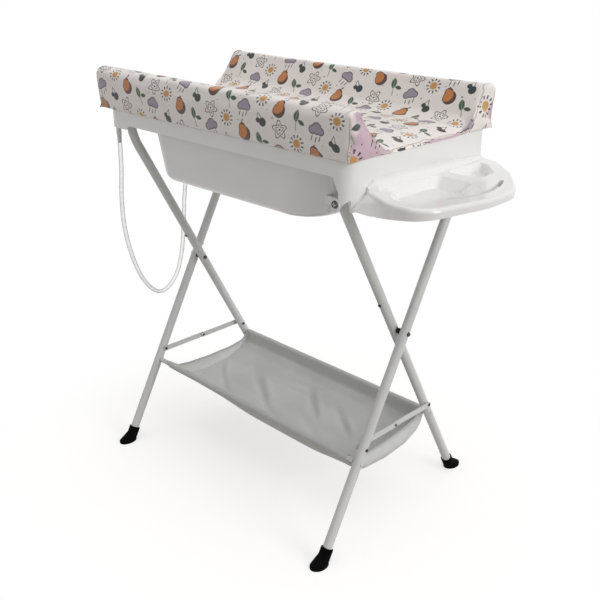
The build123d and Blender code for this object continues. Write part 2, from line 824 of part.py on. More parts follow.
def recess_floor(shares, round_shares, grow, z):
    # a recess narrows to a smaller floor of the same shape
    rounds = [share * recess_floor_share for share in round_shares]
    return tray_outline(shrunk(shares, recess_floor_share), rounds, -grow, z)


def tray_outline(shares, round_shares, inset, z):
    radii = [share * tray_length for share in round_shares]
    with BuildSketch(Plane.XY.offset(z)) as outline:
        with BuildLine():
            FilletPolyline(*plan(shares), radius=radii, close=True)
        make_face()
        if inset:
            offset(amount=-inset)
    return outline.sketch


def slot_outline(grow, z):
    with BuildSketch(Plane.XY.offset(z)) as outline:
        with BuildLine() as middle:
            ThreePointArc(*plan(slot_shares))
        SlotArc(middle.edge(), 2 * (slot_half + grow))
    return outline.sketch


def cove_section(place, height, length, inset):
    # a triangle with a hollow long side, standing on the deck against the end wall
    low = tray_z - (inset + overrun if inset else tray_t / 2)
    with BuildSketch(facing_front(stand_x, place * tub_half_w, 0)) as section:
        with BuildLine():
            top = (tray_x + inset, tray_z - inset + height)
            toe = (tray_x + inset + length, tray_z - inset)
            RadiusArc(top, toe, hypot(height, length))
            Polyline(toe, (toe[0], low), (top[0], low), top)
        make_face()
    return section.sketch


with BuildPart() as tray:
    loft([
        tray_outline(tray_low_shares, tray_round_shares, 0, lip_z),
        tray_outline(tray_top_shares, tray_round_shares, 0, tray_z - tray_round),
    ])
    # the brow rounds over towards the deck
    loft(
        [
            tray_outline(
                drawn_in(tray_top_shares, size), tray_round_shares, 0, tray_z - drop * tray_round
            )
            for size, drop in brow_shares
        ],
        ruled=True,
    )
    loft(
        [
            tray_outline(tray_low_shares, tray_round_shares, tray_t, lip_z),
            tray_outline(tray_top_shares, tray_round_shares, 2 * tray_t, tray_z - tray_t),
        ],
        mode=Mode.SUBTRACT,
    )
    for recess, rounds in recesses:
        loft([
            recess_floor(recess, rounds, tray_t, tray_z - recess_depth - tray_t),
            tray_outline(recess, rounds, -tray_t, tray_z - tray_t / 2),
        ])
    extrude(slot_outline(tray_t, slot_wall_z), amount=slot_wall_h - tray_t / 2)
    loft([cove_section(*sizes, 0) for sizes in cove_sections], ruled=True)
    loft(
        [cove_section(*sizes, tray_t) for sizes in cove_hollows], ruled=True, mode=Mode.SUBTRACT
    )
    for y_side in (-1, 1):
        stud(across(stand_x + tray_x, y_side * boss_y, boss_z), boss_r, boss_length)
    for recess, rounds in recesses:
        loft(
            [
                recess_floor(recess, rounds, 0, tray_z - recess_depth),
                tray_outline(recess, rounds, 0, tray_z + fit_gap),
            ],
            mode=Mode.SUBTRACT,
        )
    extrude(
        slot_outline(0, slot_wall_z - overrun), amount=slot_wall_h + 2 * overrun, mode=Mode.SUBTRACT
    )
    # the lip gets shallower from a little way out to its tip
    with BuildSketch(facing_front(stand_x, 0, 0)):
        with BuildLine():
            Polyline(
                (tray_x + tray_length * level_share, lip_z),
                (tray_tip + overrun, lip_z + lip_slope),
                (tray_tip + overrun, lip_z - overrun),
                (tray_x + tray_length * level_share, lip_z - overrun),
                close=True,
            )
        make_face()
    extrude(amount=tub_half_w + overrun, both=True, mode=Mode.SUBTRACT)
    for y_side in (-1, 1):
        drill(
            across(stand_x + tray_x, y_side * boss_y, boss_z),
            rail_screw_r + running_gap,
            boss_length - tray_t,
        )
save(tray, "organizer_tray")

with BuildPart() as tray_screws:
    for y_side in (-1, 1):
        seat_x = stand_x + tub_right - skirt_t - fit_gap
        domed_head(across(seat_x, y_side * boss_y, boss_z, -1), screw_head_r, head_t)
        stud(across(seat_x, y_side * boss_y, boss_z), rail_screw_r, skirt_t + boss_length - tray_t)
save(tray_screws, "tray_screws")

# Leg clip: a U of plastic that reaches back round the front right leg, held to the tub's lug
clip_front = -tub_half_w + lug_t + fit_gap
clip_t = 4.0
clip_arm = 3.0
clip_half_z = 8.0
clip_web_t = 12.9
clip_length = 43.9
clip_past_lug = 8.0
clip_head_r = 8.0
clip_head_t = 3.0
clip_web_y = clip_front + clip_web_t
clip_back_y = clip_front + clip_length
clip_half_x = tube_r + rest_gap + clip_arm
clip_end_x = lug_x + clip_past_lug
with BuildPart() as clip:
    with BuildSketch(facing_front(stand_x, clip_front + clip_t, lug_z)):
        with Locations(((inner_x + tube_r + clip_end_x) / 2, 0)):
            RectangleRounded(clip_end_x - inner_x - tube_r, 2 * clip_half_z, clip_half_z / 2)
    extrude(amount=clip_t)
    with BuildSketch(Plane.XY.offset(lug_z - clip_half_z)):
        with Locations((stand_x + inner_x, (clip_front + clip_back_y) / 2)):
            Rectangle(2 * clip_half_x, clip_back_y - clip_front)
        with Locations((stand_x + inner_x, (clip_web_y + clip_back_y) / 2 + overrun)):
            Rectangle(
                2 * (clip_half_x - clip_arm),
                clip_back_y - clip_web_y + 2 * overrun,
                mode=Mode.SUBTRACT,
            )
        # the web in front of the leg is thin, so that the hook hides behind the skirt
        with Locations((stand_x + inner_x - clip_arm, (clip_front + clip_web_y - clip_arm) / 2)):
            Rectangle(2 * clip_half_x, clip_web_y - clip_arm - clip_front, mode=Mode.SUBTRACT)
    extrude(amount=2 * clip_half_z)
    drill(facing_front(stand_x + lug_x, clip_front + clip_t, lug_z), rail_screw_r + running_gap, clip_t)
save(clip, "leg_clip")

with BuildPart() as clip_screw:
    domed_head(
        facing_front(stand_x + lug_x, -tub_half_w - fit_gap, lug_z), clip_head_r, clip_head_t
    )
    stud(
        facing_front(stand_x + lug_x, clip_front + clip_t, lug_z),
        rail_screw_r,
        lug_t + clip_t + 2 * fit_gap,
    )
save(clip_screw, "leg_clip_screw")

# Changing mat: a stiff board in a pocket under a pad with a raised bolster along each long side
mat_length = mat_right - mat_left
mat_width = 2 * (tub_half_w + mat_side_overhang)
mat_x = stand_x + (mat_left + mat_right) / 2
board_t = 6.0
board_end_border = 30.0
board_side_border = 16.0
board_round = 20.0
board_z = rim_z + fit_gap
pad_z = rim_z + rest_gap
board_length = mat_length - 2 * board_end_border
board_width = mat_width - 2 * board_side_border
cleat_length = 60.0
cleat_t = 8.0
cleat_drop = 16.0
cleat_gap = 3.0
with BuildPart() as board:
    with BuildSketch(Plane.XY.offset(board_z)):
        with Locations((mat_x, 0)):
            RectangleRounded(board_length, board_width, board_round)
    extrude(amount=board_t)
    # cleats that drop inside the basin and stop the mat from sliding
    cleat_y = basin_half_w - wall_t - cleat_gap - cleat_t / 2
    with BuildSketch(Plane.XY.offset(board_z)):
        with Locations(*[
            (stand_x + x, y_side * (cleat_y - side_draft / 2))
            for x in (basin_left / 2, basin_right / 2) for y_side in (-1, 1)
        ]):
            Rectangle(cleat_length, cleat_t)
    extrude(amount=-cleat_drop)
save(board, "mat_board")

# The pad's section as shares of its half width and of its height, from the valley beside the
# crown, up the bolster's slope, over its top and down to its outer face
pad_shares = (
    (0.54, 0.135), (0.62, 0.15), (0.70, 0.28), (0.83, 0.76),
    (0.885, 0.985), (0.965, 0.985), (0.995, 0.94), (1, 0.86),
)
crown_share = 0.168
# Where each section lies along the mat, its width and its height, drawn in at both ends
pad_section_shares = (
    (-1, 0.99, 0.98), (-0.985, 0.998, 0.992), (-0.94, 1, 0.998), (-0.5, 1, 1), (0, 0.996, 0.995),
    (0.5, 1, 1), (0.94, 1, 0.998), (0.985, 0.998, 0.992), (1, 0.99, 0.98),
)


def pad_section(x_share, width_share, height_share):
    half = mat_width / 2 * width_share
    top = mat_height * height_share
    up = [(y_share * half, pad_z + z_share * top) for y_share, z_share in pad_shares]
    down = [(-y, z) for y, z in up]
    with BuildSketch(across(mat_x + x_share * mat_length / 2, 0, 0)) as section:
        with BuildLine():
            Line((-half, pad_z), (half, pad_z))
            for points in (up, down):
                foot = (half if points is up else -half, pad_z)
                Line(foot, points[7])
                ThreePointArc(points[7], points[6], points[5])
                ThreePointArc(points[5], points[4], points[3])
                Line(points[3], points[2])
                ThreePointArc(points[2], points[1], points[0])
            ThreePointArc(up[0], (0, pad_z + crown_share * top), down[0])
        make_face()
    return section.sketch


with BuildPart() as pad:
    loft([pad_section(*shares) for shares in pad_section_shares], ruled=True)
    with BuildSketch(Plane.XY.offset(board_z - overrun)):
        with Locations((mat_x, 0)):
            RectangleRounded(
                board_length + 2 * rest_gap, board_width + 2 * rest_gap, board_round + rest_gap
            )
    extrude(amount=overrun + board_t + rest_gap, mode=Mode.SUBTRACT)
save(pad, "mat_pad")
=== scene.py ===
from math import cos, pi, radians, sin

import bpy
import numpy as np
from mathutils import Matrix, Vector


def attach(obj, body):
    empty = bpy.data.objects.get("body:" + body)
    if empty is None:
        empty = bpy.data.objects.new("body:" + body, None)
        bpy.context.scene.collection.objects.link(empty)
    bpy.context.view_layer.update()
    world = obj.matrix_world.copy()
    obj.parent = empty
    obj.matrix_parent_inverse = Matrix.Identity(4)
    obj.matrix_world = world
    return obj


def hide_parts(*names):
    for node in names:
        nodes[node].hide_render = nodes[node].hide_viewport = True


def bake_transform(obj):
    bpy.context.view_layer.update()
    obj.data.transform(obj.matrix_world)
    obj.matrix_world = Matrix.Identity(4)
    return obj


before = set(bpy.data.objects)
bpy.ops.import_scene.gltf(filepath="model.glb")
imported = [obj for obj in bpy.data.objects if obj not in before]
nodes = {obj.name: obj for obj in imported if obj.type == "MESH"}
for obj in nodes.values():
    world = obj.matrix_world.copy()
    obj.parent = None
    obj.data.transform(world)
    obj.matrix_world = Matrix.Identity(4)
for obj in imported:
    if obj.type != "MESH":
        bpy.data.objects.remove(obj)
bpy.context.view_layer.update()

standX = -0.0905    # the middle of the stand along X
bpy.ops.object.select_all(action="DESELECT")
print("frame loaded:", len(nodes), "nodes")


def addObject(name, data):
    added = bpy.data.objects.new(name, data)
    bpy.context.collection.objects.link(added)
    return added


# Camera, at the photograph's place
cameraSizes = {
    "place": (1.3589, -1.3997, 1.3034),
    "yaw": 45.18, "pitch": 22.88, "roll": -0.18,
    "lens": 52.35,
    "farEnd": 100,
}


def addCamera(sizes):
    yaw, pitch, roll = (radians(sizes[name]) for name in ("yaw", "pitch", "roll"))
    forward = Vector((-sin(yaw) * cos(pitch), cos(yaw) * cos(pitch), -sin(pitch)))
    level = Vector((cos(yaw), sin(yaw), 0))
    upward = level.cross(forward)
    right = cos(roll) * level + sin(roll) * upward
    top = cos(roll) * upward - sin(roll) * level
    turn = Matrix((right, top, -forward)).transposed().to_4x4()
    data = bpy.data.cameras.new("studioCamera")
    data.lens = sizes["lens"]
    data.clip_end = sizes["farEnd"]
    camera = addObject("studioCamera", data)
    camera.matrix_world = Matrix.Translation(sizes["place"]) @ turn
    bpy.context.scene.camera = camera


addCamera(cameraSizes)


# A socket that Python's operators turn into Math nodes
class Wire:
    def __init__(self, look, socket):
        self.look = look
        self.socket = socket

    def math(self, operation, *others, first=None):
        values = (first, self) if first is not None else (self, *others)
        return self.look.add("ShaderNodeMath", {"operation": operation}, dict(enumerate(values)))

    def __add__(self, other):
        return self.math("ADD", other)

    def __sub__(self, other):
        return self.math("SUBTRACT", other)

    def __rsub__(self, other):
        return self.math("SUBTRACT", first=other)

    def __mul__(self, other):
        return self.math("MULTIPLY", other)

    def __truediv__(self, other):
        return self.math("DIVIDE", other)

    __radd__ = __add__
    __rmul__ = __mul__

    def least(self, other):
        return self.math("MINIMUM", other)

    def most(self, other):
        return self.math("MAXIMUM", other)

    def size(self):
        return self.math("ABSOLUTE")

    def below(self, edge, soft):
        # 1 where the value is under the edge, 0 where it is over, with a soft step between
        scaled = self.math("SUBTRACT", edge) * (-1 / soft) + 0.5
        return self.look.add("ShaderNodeClamp", {}, {0: scaled})


# A material, with one method that adds any node
class Look:
    def __init__(self, name, **shader):
        self.material = bpy.data.materials.new(name)
        self.material.use_nodes = True
        self.tree = self.material.node_tree
        self.shader = self.tree.nodes["Principled BSDF"]
        self.show(**shader)

    def feed(self, node, sockets):
        for name, value in sockets.items():
            if isinstance(value, Wire):
                self.tree.links.new(value.socket, node.inputs[name])
            else:
                node.inputs[name].default_value = value

    def add(self, kind, settings, sockets, out=0):
        node = self.tree.nodes.new(kind)
        for name, value in settings.items():
            setattr(node, name, value)
        self.feed(node, sockets)
        return Wire(self, node.outputs[out])

    def place(self):
        return self.add("ShaderNodeTexCoord", {}, {}, "Object")

    def cut(self):
        # the piece's own flat pattern, in metres
        return self.add("ShaderNodeUVMap", {"uv_map": "cut"}, {})

    def part(self, vector, axis):
        return self.add("ShaderNodeSeparateXYZ", {}, {"Vector": vector}, axis)

    def chance(self, cell, out):
        # a random value or colour, the same all over a cell
        settings = {"noise_dimensions": "3D"}
        return self.add("ShaderNodeTexWhiteNoise", settings, {"Vector": cell}, out)

    def noise(self, place, scale, detail=2.0, distortion=0.0):
        sockets = {"Vector": place, "Scale": scale, "Detail": detail, "Distortion": distortion}
        return self.add("ShaderNodeTexNoise", {}, sockets)

    def stretched(self, place, scale):
        return self.add("ShaderNodeMapping", {}, {"Vector": place, "Scale": scale})

    def mix(self, factor, first, second):
        return self.add("ShaderNodeMix", {"data_type": "RGBA"}, {0: factor, 6: first, 7: second}, 2)

    def bump(self, height, distance, strength, under=None):
        sockets = {"Height": height, "Distance": distance, "Strength": strength}
        if under is not None:
            sockets["Normal"] = under
        return self.add("ShaderNodeBump", {}, sockets)

    def show(self, **sockets):
        self.feed(self.shader, {key.replace("_", " "): value for key, value in sockets.items()})
        return self.material


def rgb(red, green, blue):
    return (red, green, blue, 1.0)


# White floor and backdrop, and soft light from above and from the right
stageSizes = {
    "reach": 30.0,
    "floorColor": rgb(0.50, 0.488, 0.468),
    "floorLift": 0.635,
    "plainFrom": 0.72, "plainFade": 0.36,
    "skyLight": 0.37,
    "seenRays": ("Is Camera Ray", "Is Glossy Ray", "Is Transmission Ray"),
    "suns": (
        # name, the way its light comes from, strength, spread in degrees
        ("topSun", (0.10, 0.02, 1.0), 0.80, 55),
        ("rightSun", (0.93, 0.10, 0.40), 1.08, 30),
    ),
    "lamps": (
        # name, place, aim, width, length, watts
        ("stripLamp", (2.4, 0.9, 2.3), (0.1, 0.0, 0.8), 0.30, 1.3, 7.0),
        ("frontLamp", (-1.2, -2.8, 2.2), (0.0, 0.0, 0.8), 0.35, 1.2, 3.0),
    ),
}


def addFloor(sizes):
    reach = sizes["reach"]
    corners = [(-reach, -reach, 0), (reach, -reach, 0), (reach, reach, 0), (-reach, reach, 0)]
    mesh = bpy.data.meshes.new("studioFloor")
    mesh.from_pydata(corners, [], [(0, 1, 2, 3)])
    floor = addObject("studioFloor", mesh)
    look = Look("studioFloor")
    rays = [look.add("ShaderNodeLightPath", {}, {}, name) for name in sizes["seenRays"]]
    shown = (rays[0] + rays[1] + rays[2]).least(1.0)
    diffuse = look.add("ShaderNodeBsdfDiffuse", {}, {"Color": sizes["floorColor"]})
    glow = look.add("ShaderNodeEmission", {}, {"Strength": shown * sizes["floorLift"]})
    shaded = look.add("ShaderNodeAddShader", {}, {0: diffuse, 1: glow})
    plain = look.add("ShaderNodeEmission", {}, {"Strength": 1.0})
    # plain white away from the object, so that only the shadow between the feet shows
    away = look.add("ShaderNodeVectorMath", {"operation": "LENGTH"}, {0: look.place()}, "Value")
    share = (1.0 - away.below(sizes["plainFrom"], sizes["plainFade"])) * shown
    floorShader = look.add("ShaderNodeMixShader", {}, {0: share, 1: shaded, 2: plain})
    look.feed(look.tree.nodes["Material Output"], {"Surface": floorShader})
    mesh.materials.append(look.material)


def addSky(sizes):
    # white where it is seen, also in gloss and through the hose, and dimmer as a light
    world = bpy.data.worlds.new("studioWorld")
    world.use_nodes = True
    bpy.context.scene.world = world
    tree = world.node_tree
    path = tree.nodes.new("ShaderNodeLightPath")
    shown = path.outputs[sizes["seenRays"][0]]
    for name in sizes["seenRays"][1:]:
        joined = tree.nodes.new("ShaderNodeMath")
        joined.operation = "MAXIMUM"
        tree.links.new(shown, joined.inputs[0])
        tree.links.new(path.outputs[name], joined.inputs[1])
        shown = joined.outputs[0]
    strength = tree.nodes.new("ShaderNodeMapRange")
    strength.inputs["To Min"].default_value = sizes["skyLight"]
    tree.links.new(shown, strength.inputs["Value"])
    background = tree.nodes["Background"]
    background.inputs["Color"].default_value = rgb(1.0, 1.0, 1.0)
    tree.links.new(strength.outputs[0], background.inputs["Strength"])


def addLamps(sizes):
    for name, source, strength, spread in sizes["suns"]:
        data = bpy.data.lights.new(name, "SUN")
        data.energy = strength
        data.angle = radians(spread)
        lamp = addObject(name, data)
        lamp.matrix_world = Vector(source).to_track_quat("Z", "Y").to_matrix().to_4x4()
    for name, place, aim, width, length, watts in sizes["lamps"]:
        data = bpy.data.lights.new(name, "AREA")
        data.shape = "RECTANGLE"
        data.size = width
        data.size_y = length
        data.energy = watts
        lamp = addObject(name, data)
        turn = (Vector(aim) - Vector(place)).to_track_quat("-Z", "Y")
        lamp.matrix_world = Matrix.Translation(place) @ turn.to_matrix().to_4x4()


addFloor(stageSizes)
addSky(stageSizes)
addLamps(stageSizes)
bpy.context.scene.view_settings.view_transform = "Standard"
print("camera, floor and lamps")


# Mesh helpers: every new surface is a grid of points worked out as whole arrays
def gridOf(*parts):
    # the coordinates of a grid, from arrays that are spread over it
    return np.stack(np.broadcast_arrays(*parts), axis=-1)


def gridFaces(rows, columns, start=0, closed=False):
    # quads between neighbours of a grid, the last column joined to the first where it is closed
    across = columns if closed else columns - 1
    row, column = np.meshgrid(np.arange(rows - 1), np.arange(across), indexing="ij")
    following = (column + 1) % columns
    corners = gridOf(
        row * columns + column,
        row * columns + following,
        (row + 1) * columns + following,
        (row + 1) * columns + column,
    )
    return corners.reshape(-1, 4) + start


def joinGrids(grids, cuts, flipped=()):
    # the points, faces and cut of several grids as one mesh, some of them facing the other way
    points = np.vstack([grid.reshape(-1, 3) for grid in grids])
    cut = np.vstack([part.reshape(-1, 2) for part in cuts])
    faces, start = [], 0
    for number, grid in enumerate(grids):
        rows, columns = grid.shape[:2]
        quads = gridFaces(rows, columns, start)
        faces.append(quads[:, ::-1] if number in flipped else quads)
        start += rows * columns
    return points, np.vstack(faces), cut


def newPiece(name, points, faces, cut=None, material=None):
    mesh = bpy.data.meshes.new(name)
    mesh.from_pydata(points.tolist(), [], faces.tolist() if hasattr(faces, "tolist") else faces)
    mesh.update()
    if cut is not None:
        layer = mesh.uv_layers.new(name="cut")
        corner = np.zeros(len(mesh.loops), np.int32)
        mesh.loops.foreach_get("vertex_index", corner)
        layer.data.foreach_set("uv", cut[corner].astype(np.float32).ravel())
    mesh.polygons.foreach_set("use_smooth", np.ones(len(mesh.polygons), bool))
    if material is not None:
        mesh.materials.append(material)
    return addObject(name, mesh)


def mergeClose(piece, gap=1e-5, outward=False):
    bpy.context.view_layer.objects.active = piece
    piece.select_set(True)
    bpy.ops.object.mode_set(mode="EDIT")
    bpy.ops.mesh.select_all(action="SELECT")
    bpy.ops.mesh.remove_doubles(threshold=gap)
    if outward:
        bpy.ops.mesh.normals_make_consistent(inside=False)
    bpy.ops.object.mode_set(mode="OBJECT")
    piece.select_set(False)


def lengthsAlong(points):
    return np.concatenate([[0], np.cumsum(np.linalg.norm(np.diff(points, axis=0), axis=1))])


def evenly(points, count):
    # points at equal distances along a path of straight lines
    along = lengthsAlong(points)
    places = np.linspace(0, along[-1], count)
    return gridOf(*(np.interp(places, along, column) for column in points.T))


def smoothPath(points, count, window, step=0.0005):
    # points along a path, rounded by a moving average over the window, then evenly spaced
    points = np.array(points, float)
    dense = evenly(points, max(int(lengthsAlong(points)[-1] / step), 8))
    half = max(int(window / step / 2), 1)
    weights = np.hanning(2 * half + 3)[1:-1]
    weights /= weights.sum()
    before = 2 * dense[0] - dense[half:0:-1]
    after = 2 * dense[-1] - dense[-2:-half - 2:-1]
    padded = np.vstack([before, dense, after])
    rounded = gridOf(*(np.convolve(column, weights, "valid") for column in padded.T))
    return evenly(rounded, count)


def sweep(name, path, profile, upward, material):
    # a closed profile carried along a path: point = path + side * profile x + up * profile y
    tangent = np.gradient(path, axis=0)
    tangent /= np.linalg.norm(tangent, axis=1, keepdims=True)
    side = np.cross(tangent, np.broadcast_to(upward, path.shape))
    side /= np.linalg.norm(side, axis=1, keepdims=True)
    top = np.cross(side, tangent)
    points = path[:, None] + side[:, None] * profile[None, :, :1]
    points = points + top[:, None] * profile[None, :, 1:]
    rows, columns = points.shape[:2]
    faces = gridFaces(rows, columns, closed=True).tolist()
    faces.append(list(range(columns)))
    faces.append([rows * columns - 1 - index for index in range(columns)])
    piece = newPiece(name, points.reshape(-1, 3), faces, material=material)
    mergeClose(piece, 1e-7, outward=True)
    return piece


def ovalProfile(halfWide, halfHigh, sides):
    turn = np.linspace(0, 2 * pi, sides, endpoint=False)
    return gridOf(halfWide * np.cos(turn), halfHigh * np.sin(turn))


# Finishes of the hard pieces and of the mat's edge tapes
finishes = {
    # main colour, colour of its clouds, dust or spots, roughness
    "tubWhite": (rgb(0.86, 0.85, 0.835), rgb(0.81, 0.80, 0.785), 0.17),
    "clipWhite": (rgb(0.84, 0.835, 0.82), rgb(0.77, 0.765, 0.75), 0.32),
    "tubePaint": (rgb(0.68, 0.68, 0.665), rgb(0.59, 0.59, 0.575), 0.3),
    "blackMoulding": (rgb(0.008, 0.008, 0.009), rgb(0.02, 0.02, 0.02), 0.5),
    "footRubber": (rgb(0.001, 0.001, 0.001), rgb(0.004, 0.004, 0.004), 0.7),
    "darkSteel": (rgb(0.07, 0.07, 0.073), rgb(0.04, 0.04, 0.04), 0.42),
    "seamTape": (rgb(0.70, 0.63, 0.58), rgb(0.54, 0.47, 0.44), 0.6),
    "darkTape": (rgb(0.12, 0.085, 0.085), rgb(0.30, 0.24, 0.23), 0.6),
    "boardBrown": (rgb(0.46, 0.33, 0.20), rgb(0.30, 0.20, 0.11), 0.75),
    "sealRubber": (rgb(0.14, 0.14, 0.145), rgb(0.09, 0.09, 0.09), 0.6),
}

# The kinds of finish. noises: scale per metre, or scales along X, Y and Z, detail, distortion.
# patches of the second colour: noise, edge and softness, share. dull, added to the roughness:
# noise, edge and softness where it comes in patches, amount. relief: noise, depth, strength
moulded = {
    # faint clouding, a very shallow sink pattern and fine scuffs in the gloss
    "shader": {"Coat_Roughness": 0.06, "Specular_IOR_Level": 0.5},
    "noises": {
        "cloud": (7.0, 3.0),
        "scuff": ((40.0, 260.0, 140.0), 5.0, 0.6),
        "sink": (22.0, 1.0),
        "grain": (900.0, 2.0),
    },
    "patches": ("cloud", (0.52, 0.5), 0.5),
    "dull": (("scuff", (0.42, 0.1), 0.08), ("cloud", None, 0.04)),
    "meanDull": 0.02,
    "relief": (("sink", 0.0006, 0.35), ("grain", 0.00002, 0.5)),
}
painted = {
    # powder coat on tube: orange peel, a slight variation of tone and dull rub marks
    "shader": {"Coat_Roughness": 0.2, "Coat_Weight": 0.25},
    "noises": {
        "peel": (620.0, 2.0),
        "cloud": (9.0, 4.0),
        "rub": ((60.0, 60.0, 14.0), 6.0, 1.0),
    },
    "patches": ("cloud", (0.5, 0.4), 0.6),
    "dull": (("rub", (0.4, 0.12), 0.14), ("peel", None, 0.06)),
    "meanDull": 0.03,
    "relief": (("peel", 0.00006, 0.6),),
}
plated = {
    # steel with drawn streaks and a few dull spots
    "shader": {"Metallic": 1.0},
    "noises": {"streak": ((30.0, 900.0, 900.0), 3.0), "spot": (240.0, 4.0)},
    "patches": ("spot", (0.42, 0.1), 1.0),
    "dull": (("spot", (0.4, 0.1), 0.2), ("streak", None, 0.16)),
    "meanDull": 0.1,
    "relief": (("streak", 0.00004, 0.6),),
}
pressed = {
    # fibre board: short fibres, and flecks in the gloss
    "shader": {},
    "noises": {"fibre": ((160.0, 420.0, 300.0), 5.0, 1.2), "fleck": (520.0, 3.0)},
    "patches": ("fibre", (0.48, 0.16), 0.7),
    "dull": (("fleck", None, 0.2),),
    "meanDull": 0.1,
    "relief": (("fibre", 0.0003, 0.7),),
}


def matt(grainScale, grainDepth, shine=0.12):
    # moulding, rubber or tape: fine sandy grain, and dust in patches
    return {
        "shader": {"Specular_IOR_Level": shine},
        "noises": {"grain": (grainScale, 3.0), "dust": (60.0, 5.0)},
        "patches": ("dust", (0.46, 0.2), 1.0),
        "dull": (("dust", None, 0.2), ("grain", None, 0.1)),
        "meanDull": 0.12,
        "relief": (("grain", grainDepth, 0.8),),
    }


def hardLook(name, kind, **shader):
    main, second, roughness = finishes[name]
    look = Look(name, **kind["shader"], **shader)
    place = look.place()
    noises = {}
    for pattern, (scale, *rest) in kind["noises"].items():
        if isinstance(scale, tuple):
            noises[pattern] = look.noise(look.stretched(place, scale), 1.0, *rest)
        else:
            noises[pattern] = look.noise(place, scale, *rest)
    pattern, edge, share = kind["patches"]
    color = look.mix(noises[pattern].below(*edge) * share, main, second)
    roughness -= kind["meanDull"]
    for pattern, edge, amount in kind["dull"]:
        dull = noises[pattern].below(*edge) if edge else noises[pattern]
        roughness = dull * amount + roughness
    normal = None
    for pattern, depth, strength in kind["relief"]:
        normal = look.bump(noises[pattern], depth, strength, normal)
    return look.show(Base_Color=color, Roughness=roughness, Normal=normal)


def paintNodes(material, *names):
    for name in names:
        slots = nodes[name].data.materials
        slots.clear()
        slots.append(material)


def bothSides(*names):
    return [f"{name}_{side}" for name in names for side in ("left", "right")]


tubWhite = hardLook("tubWhite", moulded, Coat_Weight=0.5)
clipWhite = hardLook("clipWhite", moulded, Coat_Weight=0.1)
tubePaint = hardLook("tubePaint", painted)
blackMoulding = hardLook("blackMoulding", matt(1400.0, 0.00004))
footRubber = hardLook("footRubber", matt(700.0, 0.0001, shine=0.04))
sealRubber = hardLook("sealRubber", matt(900.0, 0.00006))
darkSteel = hardLook("darkSteel", plated)
seamTape = hardLook("seamTape", matt(1200.0, 0.00006))
darkTape = hardLook("darkTape", matt(1200.0, 0.00006))
boardBrown = hardLook("boardBrown", pressed)

paintNodes(tubWhite, "tub_shell", "organizer_tray")
paintNodes(clipWhite, "leg_clip", "drain_spigot", "drain_nut", "drain_plug", "hose_nozzle")
paintNodes(tubePaint, "front_rail", "back_rail", "front_rail_screws", "back_rail_screws")
paintNodes(tubePaint, "outer_brace_washers", "inner_brace_washers")
paintNodes(tubePaint, *bothSides("outer_leg_lower", "outer_leg_upper", "outer_brace"))
paintNodes(tubePaint, *bothSides("inner_leg_lower", "inner_leg_upper", "inner_brace"))
paintNodes(blackMoulding, "crossing_spacers", "outer_top_caps", "inner_top_caps")
paintNodes(blackMoulding, *bothSides("outer_snap_button", "inner_snap_button"))
paintNodes(footRubber, *bothSides("front_foot", "back_foot"))
paintNodes(sealRubber, "drain_seal")
paintNodes(darkSteel, "leg_clip_screw", "tray_screws", "crossing_rivets")
paintNodes(darkSteel, "outer_brace_rivets", "inner_brace_rivets")
paintNodes(boardBrown, "mat_board")
print("finishes on the hard pieces")


# Small fittings: the rivets in the middle of the side braces and the cross in the clip's screw
fittingSizes = {
    "rivetRadius": 0.0036, "rivetHigh": 0.0010, "rivetSides": 24,
    # share of the radius and of the height, from the foot to the crown
    "rivetRings": ((1.0, -0.5), (1.0, 0.4), (0.8, 0.85), (0.4, 1.0), (0.02, 1.02)),
    "crossLong": 0.0094, "crossWide": 0.0022, "crossHigh": 0.0002, "crossSink": 0.0008,
}


def boxOf(name):
    node = nodes[name]
    corners = np.array([node.matrix_world @ Vector(corner) for corner in node.bound_box])
    return corners.min(axis=0), corners.max(axis=0)


def addBraceRivet(name, side, sizes):
    # a low dome on the face of the brace that looks along +X: rings turned round the X axis
    boxes = [boxOf(f"{frameName}_brace_{side}") for frameName in ("outer", "inner")]
    low = np.min([box[0] for box in boxes], axis=0)
    high = np.max([box[1] for box in boxes], axis=0)
    wide, share = np.array(sizes["rivetRings"]).T[:, :, None]
    turn = np.linspace(0, 2 * pi, sizes["rivetSides"], endpoint=False)
    points = gridOf(
        high[0] + share * sizes["rivetHigh"],
        (low[1] + high[1]) / 2 + wide * sizes["rivetRadius"] * np.cos(turn),
        (low[2] + high[2]) / 2 + wide * sizes["rivetRadius"] * np.sin(turn),
    )
    faces = gridFaces(len(sizes["rivetRings"]), turn.size, closed=True)
    rivet = newPiece(name, points.reshape(-1, 3), faces, material=darkSteel)
    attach(rivet, f"outer_brace_{side}")


def addScrewCross(sizes):
    # two flat bars across the screw's head: each is a box, with four corners at two depths
    low, high = boxOf("leg_clip_screw")
    middle = (low + high) / 2
    long = np.array([sizes["crossLong"], sizes["crossWide"]])[:, None, None]
    wide = long[::-1]
    depth = np.array([-sizes["crossHigh"], sizes["crossSink"]])[:, None]
    cornerX, cornerZ = np.array([(-1, -1), (1, -1), (1, 1), (-1, 1)]).T / 2
    points = gridOf(middle[0] + cornerX * long, low[1] + depth, middle[2] + cornerZ * wide)
    bar = np.array([
        (0, 1, 2, 3), (7, 6, 5, 4), (0, 4, 5, 1), (1, 5, 6, 2), (2, 6, 7, 3), (3, 7, 4, 0),
    ])
    faces = np.vstack([bar, bar + 8])
    cross = newPiece("clipScrewCross", points.reshape(-1, 3), faces, material=tubePaint)
    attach(cross, "tub")


for name, side in (("braceRivetLeft", "left"), ("braceRivetRight", "right")):
    addBraceRivet(name, side, fittingSizes)
addScrewCross(fittingSizes)
print("small fittings")


